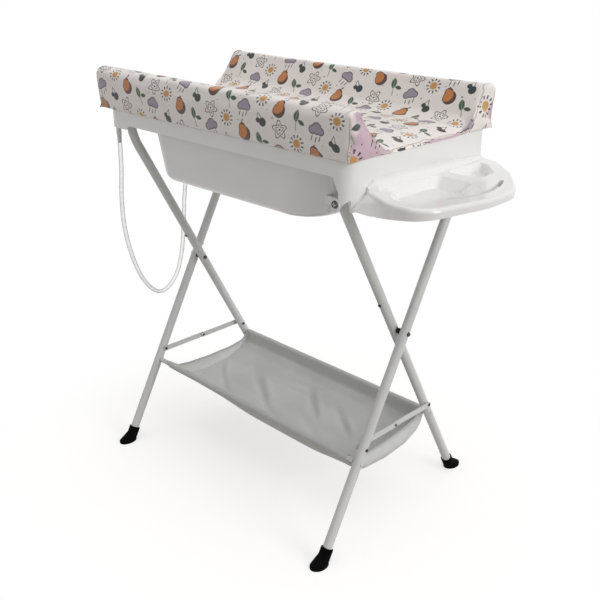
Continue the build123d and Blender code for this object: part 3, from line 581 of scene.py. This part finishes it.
# Drain hose: clear tube on the same route as the model's, from the spigot round to its socket
hoseSizes = {
    "radius": 0.0055,
    "length": 0.9835,
    "steps": 14, "ringSteps": 5,
    "route": (
        (-0.27383, 0.0, 0.772), (-0.318, 0.0, 0.772), (-0.374, -0.001, 0.744),
        (-0.396, -0.004, 0.674), (-0.397, -0.012, 0.580), (-0.396, -0.024, 0.490),
        (-0.396, -0.052, 0.415), (-0.396, -0.108, 0.384), (-0.396, -0.158, 0.436),
        (-0.396, -0.188, 0.512), (-0.395, -0.207, 0.604), (-0.388, -0.211, 0.694),
        (-0.376, -0.20996, 0.772), (-0.376, -0.20996, 0.8459),
    ),
    "middleColor": rgb(0.88, 0.885, 0.87),
    # painted shade: the darker colour at the tube's edges, which stands in for the light bent at
    # its sides
    "paintedEdgeShade": rgb(0.34, 0.345, 0.335),
    "edgeSharpness": 1.2, "edgeAlpha": 1.1, "middleAlpha": 0.10,
    "smearNoise": (90.0, 4.0),
    "smearEdge": (0.44, 0.1), "smearAlpha": 0.04,
    "smearDull": 0.2, "roughness": 0.12,
}


def hoseLook(sizes):
    # clear soft plastic: denser towards its edges, with painted shade there for the light bent at
    # the tube's sides, and a few dull smears
    look = Look("hoseClear", Coat_Weight=0.4, Coat_Roughness=0.1)
    smear = look.noise(look.place(), *sizes["smearNoise"])
    facing = look.add("ShaderNodeLayerWeight", {}, {"Blend": 0.5}, "Facing")
    edge = facing.math("POWER", sizes["edgeSharpness"])
    smears = smear.below(*sizes["smearEdge"]) * sizes["smearAlpha"]
    alpha = (edge * sizes["edgeAlpha"] + sizes["middleAlpha"] + smears).least(1.0)
    # painted shade: the colour darkens towards the edges
    color = look.mix(edge, sizes["middleColor"], sizes["paintedEdgeShade"])
    roughness = smear * sizes["smearDull"] + sizes["roughness"]
    return look.show(Alpha=alpha, Base_Color=color, Roughness=roughness)


def addHose(sizes):
    curve = bpy.data.curves.new("drainTube", "CURVE")
    curve.dimensions = "3D"
    curve.resolution_u = sizes["steps"]
    curve.bevel_depth = sizes["radius"]
    curve.bevel_resolution = sizes["ringSteps"]
    curve.use_fill_caps = True
    spline = curve.splines.new("NURBS")
    spline.points.add(len(sizes["route"]) - 1)
    for point, (x, y, z) in zip(spline.points, sizes["route"]):
        point.co = (x + standX, y, z, 1.0)
    spline.order_u = 3
    spline.use_endpoint_u = True
    curve.materials.append(hoseLook(sizes))
    hose = addObject("drainTube", curve)
    x, y, z = sizes["route"][0]
    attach(hose, "tub")
    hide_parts("drain_hose")


addHose(hoseSizes)
print("drain hose")


# Printed cover: small fruit, leaves, clouds, berries, blossoms and suns in staggered cells
printSizes = {
    "cell": (0.051, 0.047),
    "stagger": 0.37,
    "kinds": 6.0, "rowStep": 2.0,
    "shift": 0.16, "turn": 0.9, "fill": 0.77,
    "wobble": 0.03, "wobbleScale": 160.0,
    "penSoftness": 0.022, "overdraw": 0.004,
    "ground": rgb(0.90, 0.855, 0.82),
    "groundShade": rgb(0.84, 0.77, 0.735),
    "groundNoise": (14.0, 3.0),
    # the end panels lie beyond this place in the cut, and carry one large pale form each
    "panelFrom": (2.0, 0.1),
    "panelForm": rgb(0.60, 0.43, 0.50),
    "panelNoise": (12.0, 1.0, 0.4),
    "panelEdge": (0.47, 0.03),
    "ink": rgb(0.020, 0.016, 0.016),
    "pear": rgb(0.56, 0.20, 0.045),
    "pearShade": rgb(0.075, 0.022, 0.012),
    "leaf": rgb(0.03, 0.065, 0.035),
    "leafVein": rgb(0.22, 0.30, 0.17),
    "cloud": rgb(0.34, 0.285, 0.36),
    "berry": rgb(0.010, 0.014, 0.014),
    "sun": rgb(0.58, 0.30, 0.08),
    # dots and dashes scattered between the motifs
    "dotCell": 0.017, "dotSeed": 7.0, "dotEdge": (0.10, 0.06), "dotChance": (0.42, 0.01),
    "dashStretch": (4.0, 0.6), "motifEdge": (0.36, 0.04),
    "grainScale": 1500.0, "grainDepth": 0.00005, "grainDull": 0.05,
    "rippleNoise": (42.0, 3.0, 0.8), "rippleDepth": 0.0009,
    "smearNoise": (9.0, 4.0), "smearDull": 0.22, "roughness": 0.26,
}

# Motifs, in shares of a cell. A disc is its middle and radius, and a stroke its two ends and half
# its width. An outline is half the width of a pen line round the form
motifs = {
    "pear": {
        "body": ((0.0, -0.07, 0.25), (-0.03, 0.15, 0.15)),
        "light": (-0.09, 0.03, 0.235),
        "outline": 0.015,
        "stem": (-0.03, 0.28, 0.07, 0.40, 0.022),
    },
    "sprig": {
        "leafOne": ((-0.22, 0.10, 0.27), (0.10, 0.10, 0.27)),
        "leafTwo": ((0.12, -0.20, 0.19), (0.20, 0.02, 0.19)),
        "stem": (-0.06, 0.27, -0.04, -0.38, 0.016),
    },
    "cloud": {
        "body": ((-0.15, 0.06, 0.13), (0.02, 0.12, 0.18), (0.18, 0.05, 0.12)),
        "outline": 0.017,
        "rain": (
            (-0.15, -0.14, -0.18, -0.26, 0.018),
            (0.01, -0.16, -0.02, -0.30, 0.018),
            (0.16, -0.13, 0.13, -0.25, 0.018),
        ),
    },
    "berry": {
        "body": ((0.05, -0.06, 0.15), (-0.13, 0.04, 0.09)),
        "stalks": ((0.05, 0.08, -0.05, 0.30, 0.014), (-0.13, 0.12, -0.05, 0.30, 0.012)),
    },
    "blossom": {
        "petals": 5.0, "radius": 0.24, "petalDepth": 0.065, "outline": 0.020,
        "innerShare": 0.55, "innerOutline": 0.015,
        "middle": (0.0, 0.0, 0.035),
    },
    "sun": {
        "body": (0.0, 0.0, 0.14),
        "rays": 11.0, "rayWidth": (-0.05, 0.02), "rayPlace": 0.235, "rayHalf": 0.05,
    },
}


def nearest(forms):
    joined = forms[0]
    for form in forms[1:]:
        joined = joined.least(form)
    return joined


# A pen that draws one motif in every cell of its kind. A form is the distance from its edge
class Pen:
    def __init__(self, look, x, y, kind, ground, softness):
        self.look, self.x, self.y = look, x, y
        self.kind, self.color, self.softness = kind, ground, softness

    def length(self, x, y):
        return (x * x + y * y).math("SQRT")

    def disc(self, centerX, centerY, radius):
        return self.length(self.x - centerX, self.y - centerY) - radius

    def discs(self, sizes):
        return nearest([self.disc(*disc) for disc in sizes])

    def strokes(self, sizes):
        return nearest([self.stroke(*stroke) for stroke in sizes])

    def leaf(self, sizes):
        # what two discs share
        one, other = (self.disc(*disc) for disc in sizes)
        return one.most(other)

    def stroke(self, startX, startY, endX, endY, half):
        lengthX = endX - startX
        lengthY = endY - startY
        share = (self.x - startX) * lengthX + (self.y - startY) * lengthY
        share = share / (lengthX ** 2 + lengthY ** 2)
        share = self.look.add("ShaderNodeClamp", {}, {0: share})
        dx = self.x - startX - share * lengthX
        dy = self.y - startY - share * lengthY
        return self.length(dx, dy) - half

    def lay(self, number, form, ink):
        # colour the inside of the form, in the cells of one kind
        chosen = self.kind.math("COMPARE", float(number), 0.5)
        inside = form.below(0.0, self.softness)
        self.color = self.look.mix(chosen * inside, self.color, ink)


def drawMotifs(pen, values):
    overdraw, ink = values["overdraw"], values["ink"]

    # pear with a dark side, a stem and a loose outline
    sizes = motifs["pear"]
    body = pen.discs(sizes["body"])
    pen.lay(0, body, values["pear"])
    pen.lay(0, body.most(pen.disc(*sizes["light"]) * -1.0), values["pearShade"])
    pen.lay(0, (body + overdraw).size() - sizes["outline"], ink)
    pen.lay(0, pen.stroke(*sizes["stem"]), ink)

    # sprig of two leaves on a stem
    sizes = motifs["sprig"]
    pen.lay(1, pen.leaf(sizes["leafOne"]).least(pen.leaf(sizes["leafTwo"])), values["leaf"])
    pen.lay(1, pen.stroke(*sizes["stem"]), values["leafVein"])

    # cloud with a pen outline and three strokes of rain
    sizes = motifs["cloud"]
    body = pen.discs(sizes["body"])
    pen.lay(2, body, values["cloud"])
    pen.lay(2, (body + overdraw).size() - sizes["outline"], ink)
    pen.lay(2, pen.strokes(sizes["rain"]), ink)

    # dark berries on a stalk
    sizes = motifs["berry"]
    pen.lay(3, pen.discs(sizes["body"]), values["berry"])
    pen.lay(3, pen.strokes(sizes["stalks"]), values["leaf"])

    # blossom drawn in pen: a wavy circle, the same one smaller, and a dot
    sizes = motifs["blossom"]
    out = pen.length(pen.x, pen.y)
    turn = pen.y.math("ARCTAN2", pen.x)
    petals = (turn * sizes["petals"]).math("COSINE") * sizes["petalDepth"] + sizes["radius"]
    outline = (out - petals).size() - sizes["outline"]
    inner = (out - petals * sizes["innerShare"]).size() - sizes["innerOutline"]
    pen.lay(4, nearest([outline, inner, pen.disc(*sizes["middle"])]), ink)

    # small sun with rays
    sizes = motifs["sun"]
    pen.lay(5, pen.disc(*sizes["body"]), values["sun"])
    swing, narrow = sizes["rayWidth"]
    rays = (turn * sizes["rays"]).math("COSINE") * swing + narrow
    pen.lay(5, rays.most((out - sizes["rayPlace"]).size() - sizes["rayHalf"]), ink)


def dashes(look, pen, cutX, cutY, values):
    # dots and dashes in small cells, clear of the motifs: 1 where there is one
    dotX = cutX / values["dotCell"]
    dotY = cutY / values["dotCell"]
    column = dotX.math("FLOOR")
    row = dotY.math("FLOOR")
    places = {"X": column, "Y": row, "Z": values["dotSeed"]}
    chance = look.chance(look.add("ShaderNodeCombineXYZ", {}, places), "Value")
    most, least = values["dashStretch"]
    dashX = (dotX - column - 0.5) * (chance * most + least)
    dash = pen.length(dashX, dotY - row - 0.5).below(*values["dotEdge"])
    clear = 1.0 - pen.x.size().most(pen.y.size()).below(*values["motifEdge"])
    return dash * chance.below(*values["dotChance"]) * clear


def coverLook(values):
    look = Look("matCover", Coat_Roughness=0.25, Coat_Weight=0.18, Specular_IOR_Level=0.45)
    cut = look.cut()
    cutX = look.part(cut, "X")
    cutY = look.part(cut, "Y")
    along = cutX / values["cell"][0]
    column = along.math("FLOOR")
    up = cutY / values["cell"][1] + column * values["stagger"]
    row = up.math("FLOOR")
    chance = look.chance(look.add("ShaderNodeCombineXYZ", {}, {"X": column, "Y": row}), "Color")
    random = [
        look.add("ShaderNodeSeparateColor", {}, {"Color": chance}, index) - 0.5
        for index in range(3)
    ]
    kind = (column + row * values["rowStep"]).math("FLOORED_MODULO", values["kinds"])

    # place inside the cell, moved and turned a little by chance
    wobble = (look.noise(cut, values["wobbleScale"]) - 0.5) * values["wobble"]
    x = along - column - 0.5 - random[0] * values["shift"] + wobble
    y = up - row - 0.5 - random[1] * values["shift"] + wobble
    angle = random[2] * values["turn"]
    cosine = angle.math("COSINE")
    sine = angle.math("SINE")
    px = (x * cosine + y * sine) * values["fill"]
    py = (y * cosine - x * sine) * values["fill"]

    ground = look.noise(cut, *values["groundNoise"])
    ground = look.mix(ground, values["ground"], values["groundShade"])
    form = look.noise(cut, *values["panelNoise"])
    form = (1.0 - cutX.below(*values["panelFrom"])) * form.below(*values["panelEdge"])
    ground = look.mix(form, ground, values["panelForm"])
    pen = Pen(look, px, py, kind, ground, values["penSoftness"])
    drawMotifs(pen, values)
    color = look.mix(dashes(look, pen, cutX, cutY, values), pen.color, values["ink"])

    grain = look.noise(cut, values["grainScale"])
    ripple = look.noise(cut, *values["rippleNoise"])
    smear = look.noise(cut, *values["smearNoise"])
    normal = look.bump(ripple, values["rippleDepth"], 0.5)
    normal = look.bump(grain, values["grainDepth"], 0.5, normal)
    roughness = smear * values["smearDull"] + grain * values["grainDull"]
    roughness = roughness + values["roughness"]
    return look.show(Base_Color=color, Roughness=roughness, Normal=normal)


matCover = coverLook(printSizes)
print("printed cover")


# Changing mat: two bolsters, a shallow crown between them and a flat panel at each end
matSizes = {
    "length": 0.822, "width": 0.460, "height": 0.098,
    "middleX": standX - 0.008, "bottomZ": 0.9108,
    "rows": 104, "columns": 88, "endRows": 9,
    "sideShares": (
        # share of the half width and of the height, from the lower edge to the middle
        (1, 0), (1, 0.88), (0.997, 0.95), (0.975, 0.985), (0.885, 0.985),
        (0.83, 0.76), (0.70, 0.28), (0.62, 0.15), (0.54, 0.135), (0.27, 0.160), (0, 0.168),
    ),
    "roundOver": 0.007,
    # the last rows draw in a little: where they start, over what share, how much in width, height
    "drawZone": (0.985, 0.015),
    "endDraw": (0.003, 0.006),
    # the crown drops at each end: over what length, how far, and the width where it fades out
    "lowEnd": (0.045, 0.010),
    "lowZone": (0.74, 0.16),
    # places of the bottom and of the two ends in the cut
    "bottomCut": (0.0, 2.0),
    "endCuts": ((3.0, -0.62), (4.013, -0.62)),
    "endCutScale": 0.72,
    # cloth settings under Blender's own names: a negative shrink cuts the cloth too large
    "cloth": {
        "quality": 5, "mass": 0.25, "tension_stiffness": 18, "compression_stiffness": 18,
        "shear_stiffness": 6, "bending_stiffness": 0.6, "use_pressure": True,
        "uniform_pressure_force": 3.0, "shrink_min": -0.007,
    },
    "limit": 0.0045, "heldBand": 0.0001, "frames": 20,
    "weltOval": (0.0013, 0.0013, 8),
    "weltSmoothing": (220, 0.012),
    "weltSearch": 0.012,
}


def matGrids(sizes):
    # top: the section carried along X. bottom: flat. ends: straight lines from top to bottom
    half = np.array([sizes["width"] / 2, sizes["height"]])
    side = np.array(sizes["sideShares"], float) * half
    section = np.vstack([side * (-1, 1), side[-2::-1]])
    path = smoothPath(section, sizes["columns"], sizes["roundOver"])
    along = np.linspace(-1, 1, sizes["rows"])
    start, fade = sizes["drawZone"]
    draw = np.clip((np.abs(along) - start) / fade, 0, 1) ** 2
    drawY, drawZ = sizes["endDraw"]
    x = sizes["middleX"] + along * sizes["length"] / 2
    top = np.zeros((sizes["rows"], sizes["columns"], 3))
    top[..., 0] = x[:, None]
    top[..., 1] = path[None, :, 0] * (1 - drawY * draw[:, None])
    top[..., 2] = sizes["bottomZ"] + path[None, :, 1] * (1 - drawZ * draw[:, None])
    # between the bolsters the top curves down to the end seam
    reach, drop = sizes["lowEnd"]
    nearEnd = np.clip(1 - (1 - np.abs(along)) * sizes["length"] / 2 / reach, 0, 1) ** 2
    start, fade = sizes["lowZone"]
    middle = np.clip((start - np.abs(path[:, 0]) / half[0]) / fade, 0, 1)
    top[..., 2] -= drop * nearEnd[:, None] * middle[None, :]
    bottom = top.copy()
    bottom[..., 1] = np.linspace(path[0, 0], path[-1, 0], sizes["columns"])[None, :]
    bottom[..., 2] = sizes["bottomZ"]
    share = np.linspace(0, 1, sizes["endRows"])[:, None, None]
    ends = [top[row] * (1 - share) + bottom[row] * share for row in (0, -1)]
    return path, [top, bottom, *ends]


def matCuts(sizes, path, grids):
    # the cut of the cover in metres: the top along its own surface, the ends and bottom as seen
    top, bottom, *ends = grids
    topCut = gridOf(top[..., 0], lengthsAlong(path)[None, :])
    bottomCut = bottom[..., :2] + sizes["bottomCut"]
    endCuts = [
        end[..., 1:] * sizes["endCutScale"] + place
        for end, place in zip(ends, sizes["endCuts"])
    ]
    return [topCut, bottomCut, *endCuts]


def readPoints(mesh):
    points = np.zeros(len(mesh.vertices) * 3, np.float32)
    mesh.vertices.foreach_get("co", points)
    return points.reshape(-1, 3)


def puffMat(mat, sizes):
    # cloth filled by pressure and cut a little too large, its flat bottom held to the board
    rest = readPoints(mat.data)
    held = mat.vertex_groups.new(name="held")
    low = np.nonzero(rest[:, 2] < sizes["bottomZ"] + sizes["heldBand"])[0]
    held.add(low.tolist(), 1.0, "REPLACE")
    cloth = mat.modifiers.new("puff", "CLOTH")
    for setting, value in sizes["cloth"].items():
        setattr(cloth.settings, setting, value)
    cloth.settings.vertex_group_mass = held.name
    cloth.settings.effector_weights.gravity = 0
    cloth.collision_settings.use_collision = False
    cloth.point_cache.frame_start = 1
    cloth.point_cache.frame_end = sizes["frames"]
    scene = bpy.context.scene
    for number in range(1, sizes["frames"] + 1):
        scene.frame_set(number)
    graph = bpy.context.evaluated_depsgraph_get()
    puffed = readPoints(mat.evaluated_get(graph).data)
    mat.modifiers.remove(cloth)
    scene.frame_set(1)
    # no point moves further than the limit or under the board
    move = puffed - rest
    size = np.linalg.norm(move, axis=1, keepdims=True)
    move *= np.minimum(1.0, sizes["limit"] / np.maximum(size, 1e-9))
    points = rest + move
    points[:, 2] = np.maximum(points[:, 2], sizes["bottomZ"])
    mat.data.vertices.foreach_set("co", points.astype(np.float32).ravel())
    mat.data.update()


def addMat(sizes):
    path, grids = matGrids(sizes)
    cuts = matCuts(sizes, path, grids)
    mat = newPiece("matCover", *joinGrids(grids, cuts, flipped=(1, 2)), material=matCover)
    mergeClose(mat, outward=True)
    puffMat(mat, sizes)
    finish = mat.modifiers.new("finish", "SUBSURF")
    finish.levels = 1
    finish.render_levels = 1
    return mat


def sewnEdge(mat, sizes, row):
    # the points of the finished cover that lie nearest to the edge of its plain shape
    graph = bpy.context.evaluated_depsgraph_get()
    points = readPoints(mat.evaluated_get(graph).data)
    top = matGrids(sizes)[1][0]
    wanted = top[row]
    near = points[np.abs(points[:, 0] - wanted[0, 0]) < sizes["weltSearch"]]
    gaps = np.linalg.norm(near[None, :, 1:] - wanted[:, None, 1:], axis=2)
    found = near[np.argmin(gaps, axis=1)]
    return smoothPath(found, *sizes["weltSmoothing"])


mat = addMat(matSizes)
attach(mat, "mat")
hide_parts("mat_pad")
weltRound = ovalProfile(*matSizes["weltOval"])
for name, row, tape in (("matWeltLeft", 0, darkTape), ("matWeltRight", -1, seamTape)):
    welt = sweep(name, sewnEdge(mat, matSizes, row), weltRound, (1, 0, 0), tape)
    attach(welt, "mat")
print("changing mat")


# Storage basket: thin woven cloth on two rails, with a flat sleeve on each and a low end panel
basketSizes = {
    "halfLength": 0.320, "frontReach": 0.020,
    "railY": 0.14649, "railZ": 0.21257,
    "sleeveRadius": 0.0076, "sleeveCurve": 0.8,
    "sag": 0.060,
    "rows": 220, "columns": 100, "sleeveColumns": 22, "panelRows": 9,
    # lines across, front rail to back rail: share of the half gap, share of the sag
    "floorShares": (
        (-1, 0), (-0.995, 0.16), (-0.93, 0.42), (-0.72, 0.80), (-0.14, 1),
        (0.44, 0.88), (0.80, 0.60), (0.985, 0.32), (1, 0),
    ),
    "fullShares": (
        (-1, 0), (-1.01, 0.34), (-0.97, 0.60), (-0.74, 0.90), (-0.14, 1),
        (0.44, 0.88), (0.80, 0.60), (0.985, 0.32), (1, 0),
    ),
    "endShares": (
        (-1, 0), (-1.0, 0.24), (-0.92, 0.55), (-0.66, 0.88), (-0.06, 1.06),
        (0.52, 1.04), (0.88, 0.78), (0.99, 0.40), (1, 0),
    ),
    "bindingShares": (
        (-1, 0), (-0.86, 0.24), (-0.60, 0.34), (-0.10, 0.41), (0.50, 0.40), (0.84, 0.30), (1, 0),
    ),
    "lineRounding": 0.02,
    "folds": (
        # share of the half length, depth, lean to the back, share of the fuller front
        (-1, 1, 0, 0), (-0.72, 1.06, 0.05, 0.10), (-0.4, 0.99, -0.04, 0.35),
        (-0.05, 1.12, 0.03, 0.8), (0.3, 1.05, -0.05, 1.0), (0.68, 1.13, 0.03, 0.9),
        (1, 1.10, 0.03, 0.35),
    ),
    # points, rounding and step of the smoothed folds
    "foldSmoothing": (400, 0.3, 0.005),
    "endZone": (0.55, 0.45),
    "puckers": (
        # place along X and across from front to back, length, width, height, turn in degrees
        (-0.232, -0.030, 0.120, 0.010, -0.0046, 144),
        (-0.268, 0.010, 0.090, 0.009, 0.0032, 136),
        (-0.180, -0.070, 0.080, 0.010, -0.0030, 150),
        (-0.120, 0.005, 0.170, 0.012, -0.0056, 147),
        (-0.092, 0.012, 0.150, 0.011, 0.0036, 146),
        (-0.020, -0.052, 0.110, 0.010, -0.0030, 154),
        (0.038, 0.048, 0.130, 0.012, -0.0060, 142),
        (0.068, 0.040, 0.110, 0.011, 0.0040, 140),
        (0.104, -0.036, 0.120, 0.011, -0.0030, 152),
        (0.156, 0.032, 0.110, 0.011, -0.0062, 146),
        (0.186, 0.030, 0.100, 0.010, 0.0042, 144),
        (0.214, 0.066, 0.070, 0.009, -0.0036, 138),
        (0.246, -0.006, 0.100, 0.010, -0.0040, 152),
        (0.282, 0.018, 0.080, 0.009, 0.0030, 160),
        (-0.300, -0.056, 0.060, 0.009, -0.0030, 120),
        (-0.050, 0.085, 0.120, 0.010, -0.0022, 12),
        (0.150, -0.100, 0.120, 0.010, 0.0026, 176),
    ),
    "puckerEndFade": 12, "puckerRailFade": 9,
    "seamDepths": (0.017, 0.026), "layerGap": 0.0012, "thickness": 0.0009,
    "endBulges": (0.004, 0.012), "panelCut": 0.2,
    "bindingOval": (0.0010, 0.0030, 10), "bindingGap": 0.0003,
}

weaveSizes = {
    "cloth": rgb(0.70, 0.70, 0.68),
    "clothCloud": rgb(0.60, 0.60, 0.58),
    "cloudNoise": (11.0, 4.0, 0.4), "cloudDull": 0.15, "roughness": 0.62,
    "threadPitch": 0.0011,
    "slub": rgb(0.50, 0.50, 0.485),
    "slubScales": (30.0, 700.0, 1.0), "slubEdge": (0.42, 0.1), "slubShare": 0.3,
    # painted shade on the doubled sleeves, for the less light that comes through two layers
    "sleeve": rgb(0.44, 0.44, 0.44),
    "sleeveShare": 0.25, "hemEdge": (0.0, 0.0008),
    "stitch": rgb(0.80, 0.80, 0.79),
    "stitchPitch": 0.0036, "stitchDash": (0.30, 0.1),
    "stitchLine": 0.0022, "stitchWidth": (0.0006, 0.0004),
    # relief of the weave, the slubs, the stitches and the second layer, in steps of the depth
    "relief": (0.25, 0.5, 2.0, 5.0),
    "depth": 0.00015,
    "tape": rgb(0.50, 0.50, 0.49),
    "tapeShade": rgb(0.42, 0.42, 0.41),
    "ribs": {"Scale": 380.0, "Distortion": 0.6}, "ribDepth": 0.00012,
    "toneNoise": (30.0, 3.0), "toneDull": 0.2, "tapeRoughness": 0.6,
}


def basketWave(sizes, x, y):
    # the height of all the folds: each is a bell, long one way and narrow the other
    height = np.zeros(np.broadcast(x, y).shape)
    for placeX, placeY, long, wide, high, turn in sizes["puckers"]:
        cosine, sine = cos(radians(turn)), sin(radians(turn))
        lengthwise = (x - placeX) * cosine + (y - placeY) * sine
        crosswise = (y - placeY) * cosine - (x - placeX) * sine
        height += high * np.exp(-(lengthwise / long * 2) ** 2 - (crosswise / wide) ** 2)
    return height


def hangingLine(sizes, name):
    # a rounded line from the inside of one rail to the inside of the other, y and depth in metres
    scale = (sizes["railY"] - sizes["sleeveRadius"], sizes["sag"])
    line = np.array(sizes[name], float) * scale
    return smoothPath(line, sizes["columns"], sizes["lineRounding"])


def sleeveLoop(sizes, side, seam):
    # y and z from the seam up the outside of the rail, over it and to its inside, side -1 in front
    radius = sizes["sleeveRadius"]
    share = np.linspace(0, 1, sizes["sleeveColumns"] // 2)[:-1]
    outside = sizes["railY"] + radius
    inside = sizes["railY"] - radius + sizes["layerGap"]
    y = inside + (outside - inside) * share ** sizes["sleeveCurve"]
    z = sizes["railZ"] - seam * (1 - share)
    turn = np.linspace(0, pi, sizes["sleeveColumns"] - len(share))
    y = np.concatenate([y, sizes["railY"] + radius * np.cos(turn)])
    z = np.concatenate([z, sizes["railZ"] + radius * np.sin(turn)])
    return side * y, z


def clothLook(sizes):
    # thin woven polyester: a fine weave, soft cloudy tone, stitches along both hems, painted shade
    # on the doubled sleeves
    look = Look("basketWeave", Sheen_Weight=0.25, Sheen_Roughness=0.5, Specular_IOR_Level=0.3)
    cut = look.cut()
    u = look.part(cut, "X")
    v = look.part(cut, "Y")
    threads = 2 * pi / sizes["threadPitch"]
    weave = (u * threads).math("SINE") * (v * threads).math("SINE")
    cloud = look.noise(cut, *sizes["cloudNoise"])
    slub = look.noise(look.stretched(cut, sizes["slubScales"]), 1.0)
    color = look.mix(cloud, sizes["cloth"], sizes["clothCloud"])
    color = look.mix(slub.below(*sizes["slubEdge"]) * sizes["slubShare"], color, sizes["slub"])
    # painted shade: the sleeves are two layers, so less light comes through them, and they take a
    # darker colour for it
    doubled = v.below(*sizes["hemEdge"])
    color = look.mix(doubled * sizes["sleeveShare"], color, sizes["sleeve"])
    dash = (u / sizes["stitchPitch"]).math("FRACT") - 0.5
    line = (v + sizes["stitchLine"]).size().below(*sizes["stitchWidth"])
    stitch = dash.size().below(*sizes["stitchDash"]) * line
    color = look.mix(stitch, color, sizes["stitch"])
    weaveHigh, slubHigh, stitchHigh, layerHigh = sizes["relief"]
    height = weave * weaveHigh + slub * slubHigh + stitch * stitchHigh + doubled * layerHigh
    roughness = cloud * sizes["cloudDull"] + sizes["roughness"]
    normal = look.bump(height, sizes["depth"], 0.8)
    return look.show(Base_Color=color, Roughness=roughness, Normal=normal)


def bindingLook(sizes):
    # folded tape: a ribbed weave, darker than the cloth
    look = Look("basketTape", Sheen_Weight=0.2, Specular_IOR_Level=0.3)
    place = look.place()
    rib = look.add("ShaderNodeTexWave", {}, {"Vector": place, **sizes["ribs"]})
    tone = look.noise(place, *sizes["toneNoise"])
    color = look.mix(tone, sizes["tape"], sizes["tapeShade"])
    roughness = tone * sizes["toneDull"] + sizes["tapeRoughness"]
    normal = look.bump(rib, sizes["ribDepth"], 0.7)
    return look.show(Base_Color=color, Roughness=roughness, Normal=normal)


def foldedFloor(sizes, x):
    # y and z of the cloth between the rails, x being a column from -1 to 1. The line across is
    # thin at the left end, fuller at the front further right, and deepest at the right end
    smooth = smoothPath(sizes["folds"], *sizes["foldSmoothing"])
    depth, lean, front = (np.interp(x, smooth[:, 0], smooth[:, column]) for column in (1, 2, 3))
    thin, full, deep = (
        hangingLine(sizes, name)[None] for name in ("floorShares", "fullShares", "endShares")
    )
    start, fade = sizes["endZone"]
    atEnd = np.clip((x - start) / fade, 0, 1) ** 2
    across = thin * (1 - front[..., None]) + full * front[..., None]
    across = across * (1 - atEnd[..., None]) + deep * atEnd[..., None]
    hang = sizes["railY"] - sizes["sleeveRadius"]
    inner = np.clip(1 - (across[..., 0] / hang) ** 2, 0, 1)
    y = across[..., 0] + lean * inner * hang
    z = sizes["railZ"] - across[..., 1] * depth
    # the small folds die out towards the ends and the rails
    share = np.linspace(0, 1, sizes["columns"])[None, :]
    ends = np.clip((1 - np.abs(x)) * sizes["puckerEndFade"], 0, 1)
    rails = np.clip(np.minimum(share, 1 - share) * sizes["puckerRailFade"] - 1, 0, 1)
    return y, z + basketWave(sizes, x * sizes["halfLength"], y) * (rails * ends)


def basketSheet(sizes):
    # one cloth: a sleeve round the front rail, the floor, and a sleeve round the back rail
    x = np.linspace(-1, 1, sizes["rows"])[:, None]
    placeX = x * sizes["halfLength"]
    floorY, floorZ = foldedFloor(sizes, x)
    frontSeam, backSeam = sizes["seamDepths"]
    frontY, frontZ = sleeveLoop(sizes, -1, frontSeam)
    backY, backZ = sleeveLoop(sizes, 1, backSeam)
    ones = np.ones((sizes["rows"], 1))
    y = np.hstack([ones * frontY[None, :-1], floorY, ones * backY[None, -2::-1]])
    z = np.hstack([ones * frontZ[None, :-1], floorZ, ones * backZ[None, -2::-1]])
    # the right end reaches further along the front rail than along the back one
    towardsFront = np.clip(0.5 - y / (2 * sizes["railY"]), 0, 1)
    reach = np.clip(x, 0, 1) * sizes["frontReach"] * towardsFront
    sheet = gridOf(placeX + reach + standX, y, z)
    # in the cut, v counts from the stitching under the nearer sleeve
    first = frontY.size - 1
    last = first + sizes["columns"] - 1
    v = lengthsAlong(sheet[sizes["rows"] // 2, :, 1:])
    v = np.where(v < v[-1] / 2, v - v[first] - frontSeam, v[last] - v - backSeam)
    return sheet, gridOf(placeX, v[None, :]), sheet[:, first:last + 1]


def endPanel(sizes, side, low):
    # straight lines from the binding down to the end of the floor, bulged along X
    line = hangingLine(sizes, "bindingShares")
    top = gridOf(low[:, 0], line[:, 0], sizes["railZ"] - line[:, 1])
    share = np.linspace(0, 1, sizes["panelRows"])[:, None, None]
    panel = top[None] * (1 - share) + low[None] * share
    panel[..., 0] += side * sizes["endBulges"][side > 0] * np.sin(share[..., 0] * pi)
    cut = gridOf(panel[..., 1], sizes["panelCut"] + panel[..., 2])
    return panel, cut, top + (side * sizes["bindingGap"], 0, 0)


def addBasket(sizes):
    sheet, cut, floor = basketSheet(sizes)
    ends = [endPanel(sizes, side, floor[row]) for side, row in ((-1, 0), (1, -1))]
    panels, panelCuts, bindings = zip(*ends)
    grids = joinGrids([sheet, *panels], [cut, *panelCuts])
    basket = newPiece("basketCloth", *grids, material=clothLook(weaveSizes))
    mergeClose(basket)
    wall = basket.modifiers.new("wall", "SOLIDIFY")
    wall.thickness = sizes["thickness"]
    wall.offset = 0
    tape = bindingLook(weaveSizes)
    flat = ovalProfile(*sizes["bindingOval"])
    names = ("basketBindingLeft", "basketBindingRight")
    tapes = [sweep(name, line, flat, (0, 0, 1), tape) for name, line in zip(names, bindings)]
    return basket, tapes


basket, tapes = addBasket(basketSizes)
for piece in (basket, *tapes):
    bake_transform(piece)
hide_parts("basket_cloth")
print("basket")
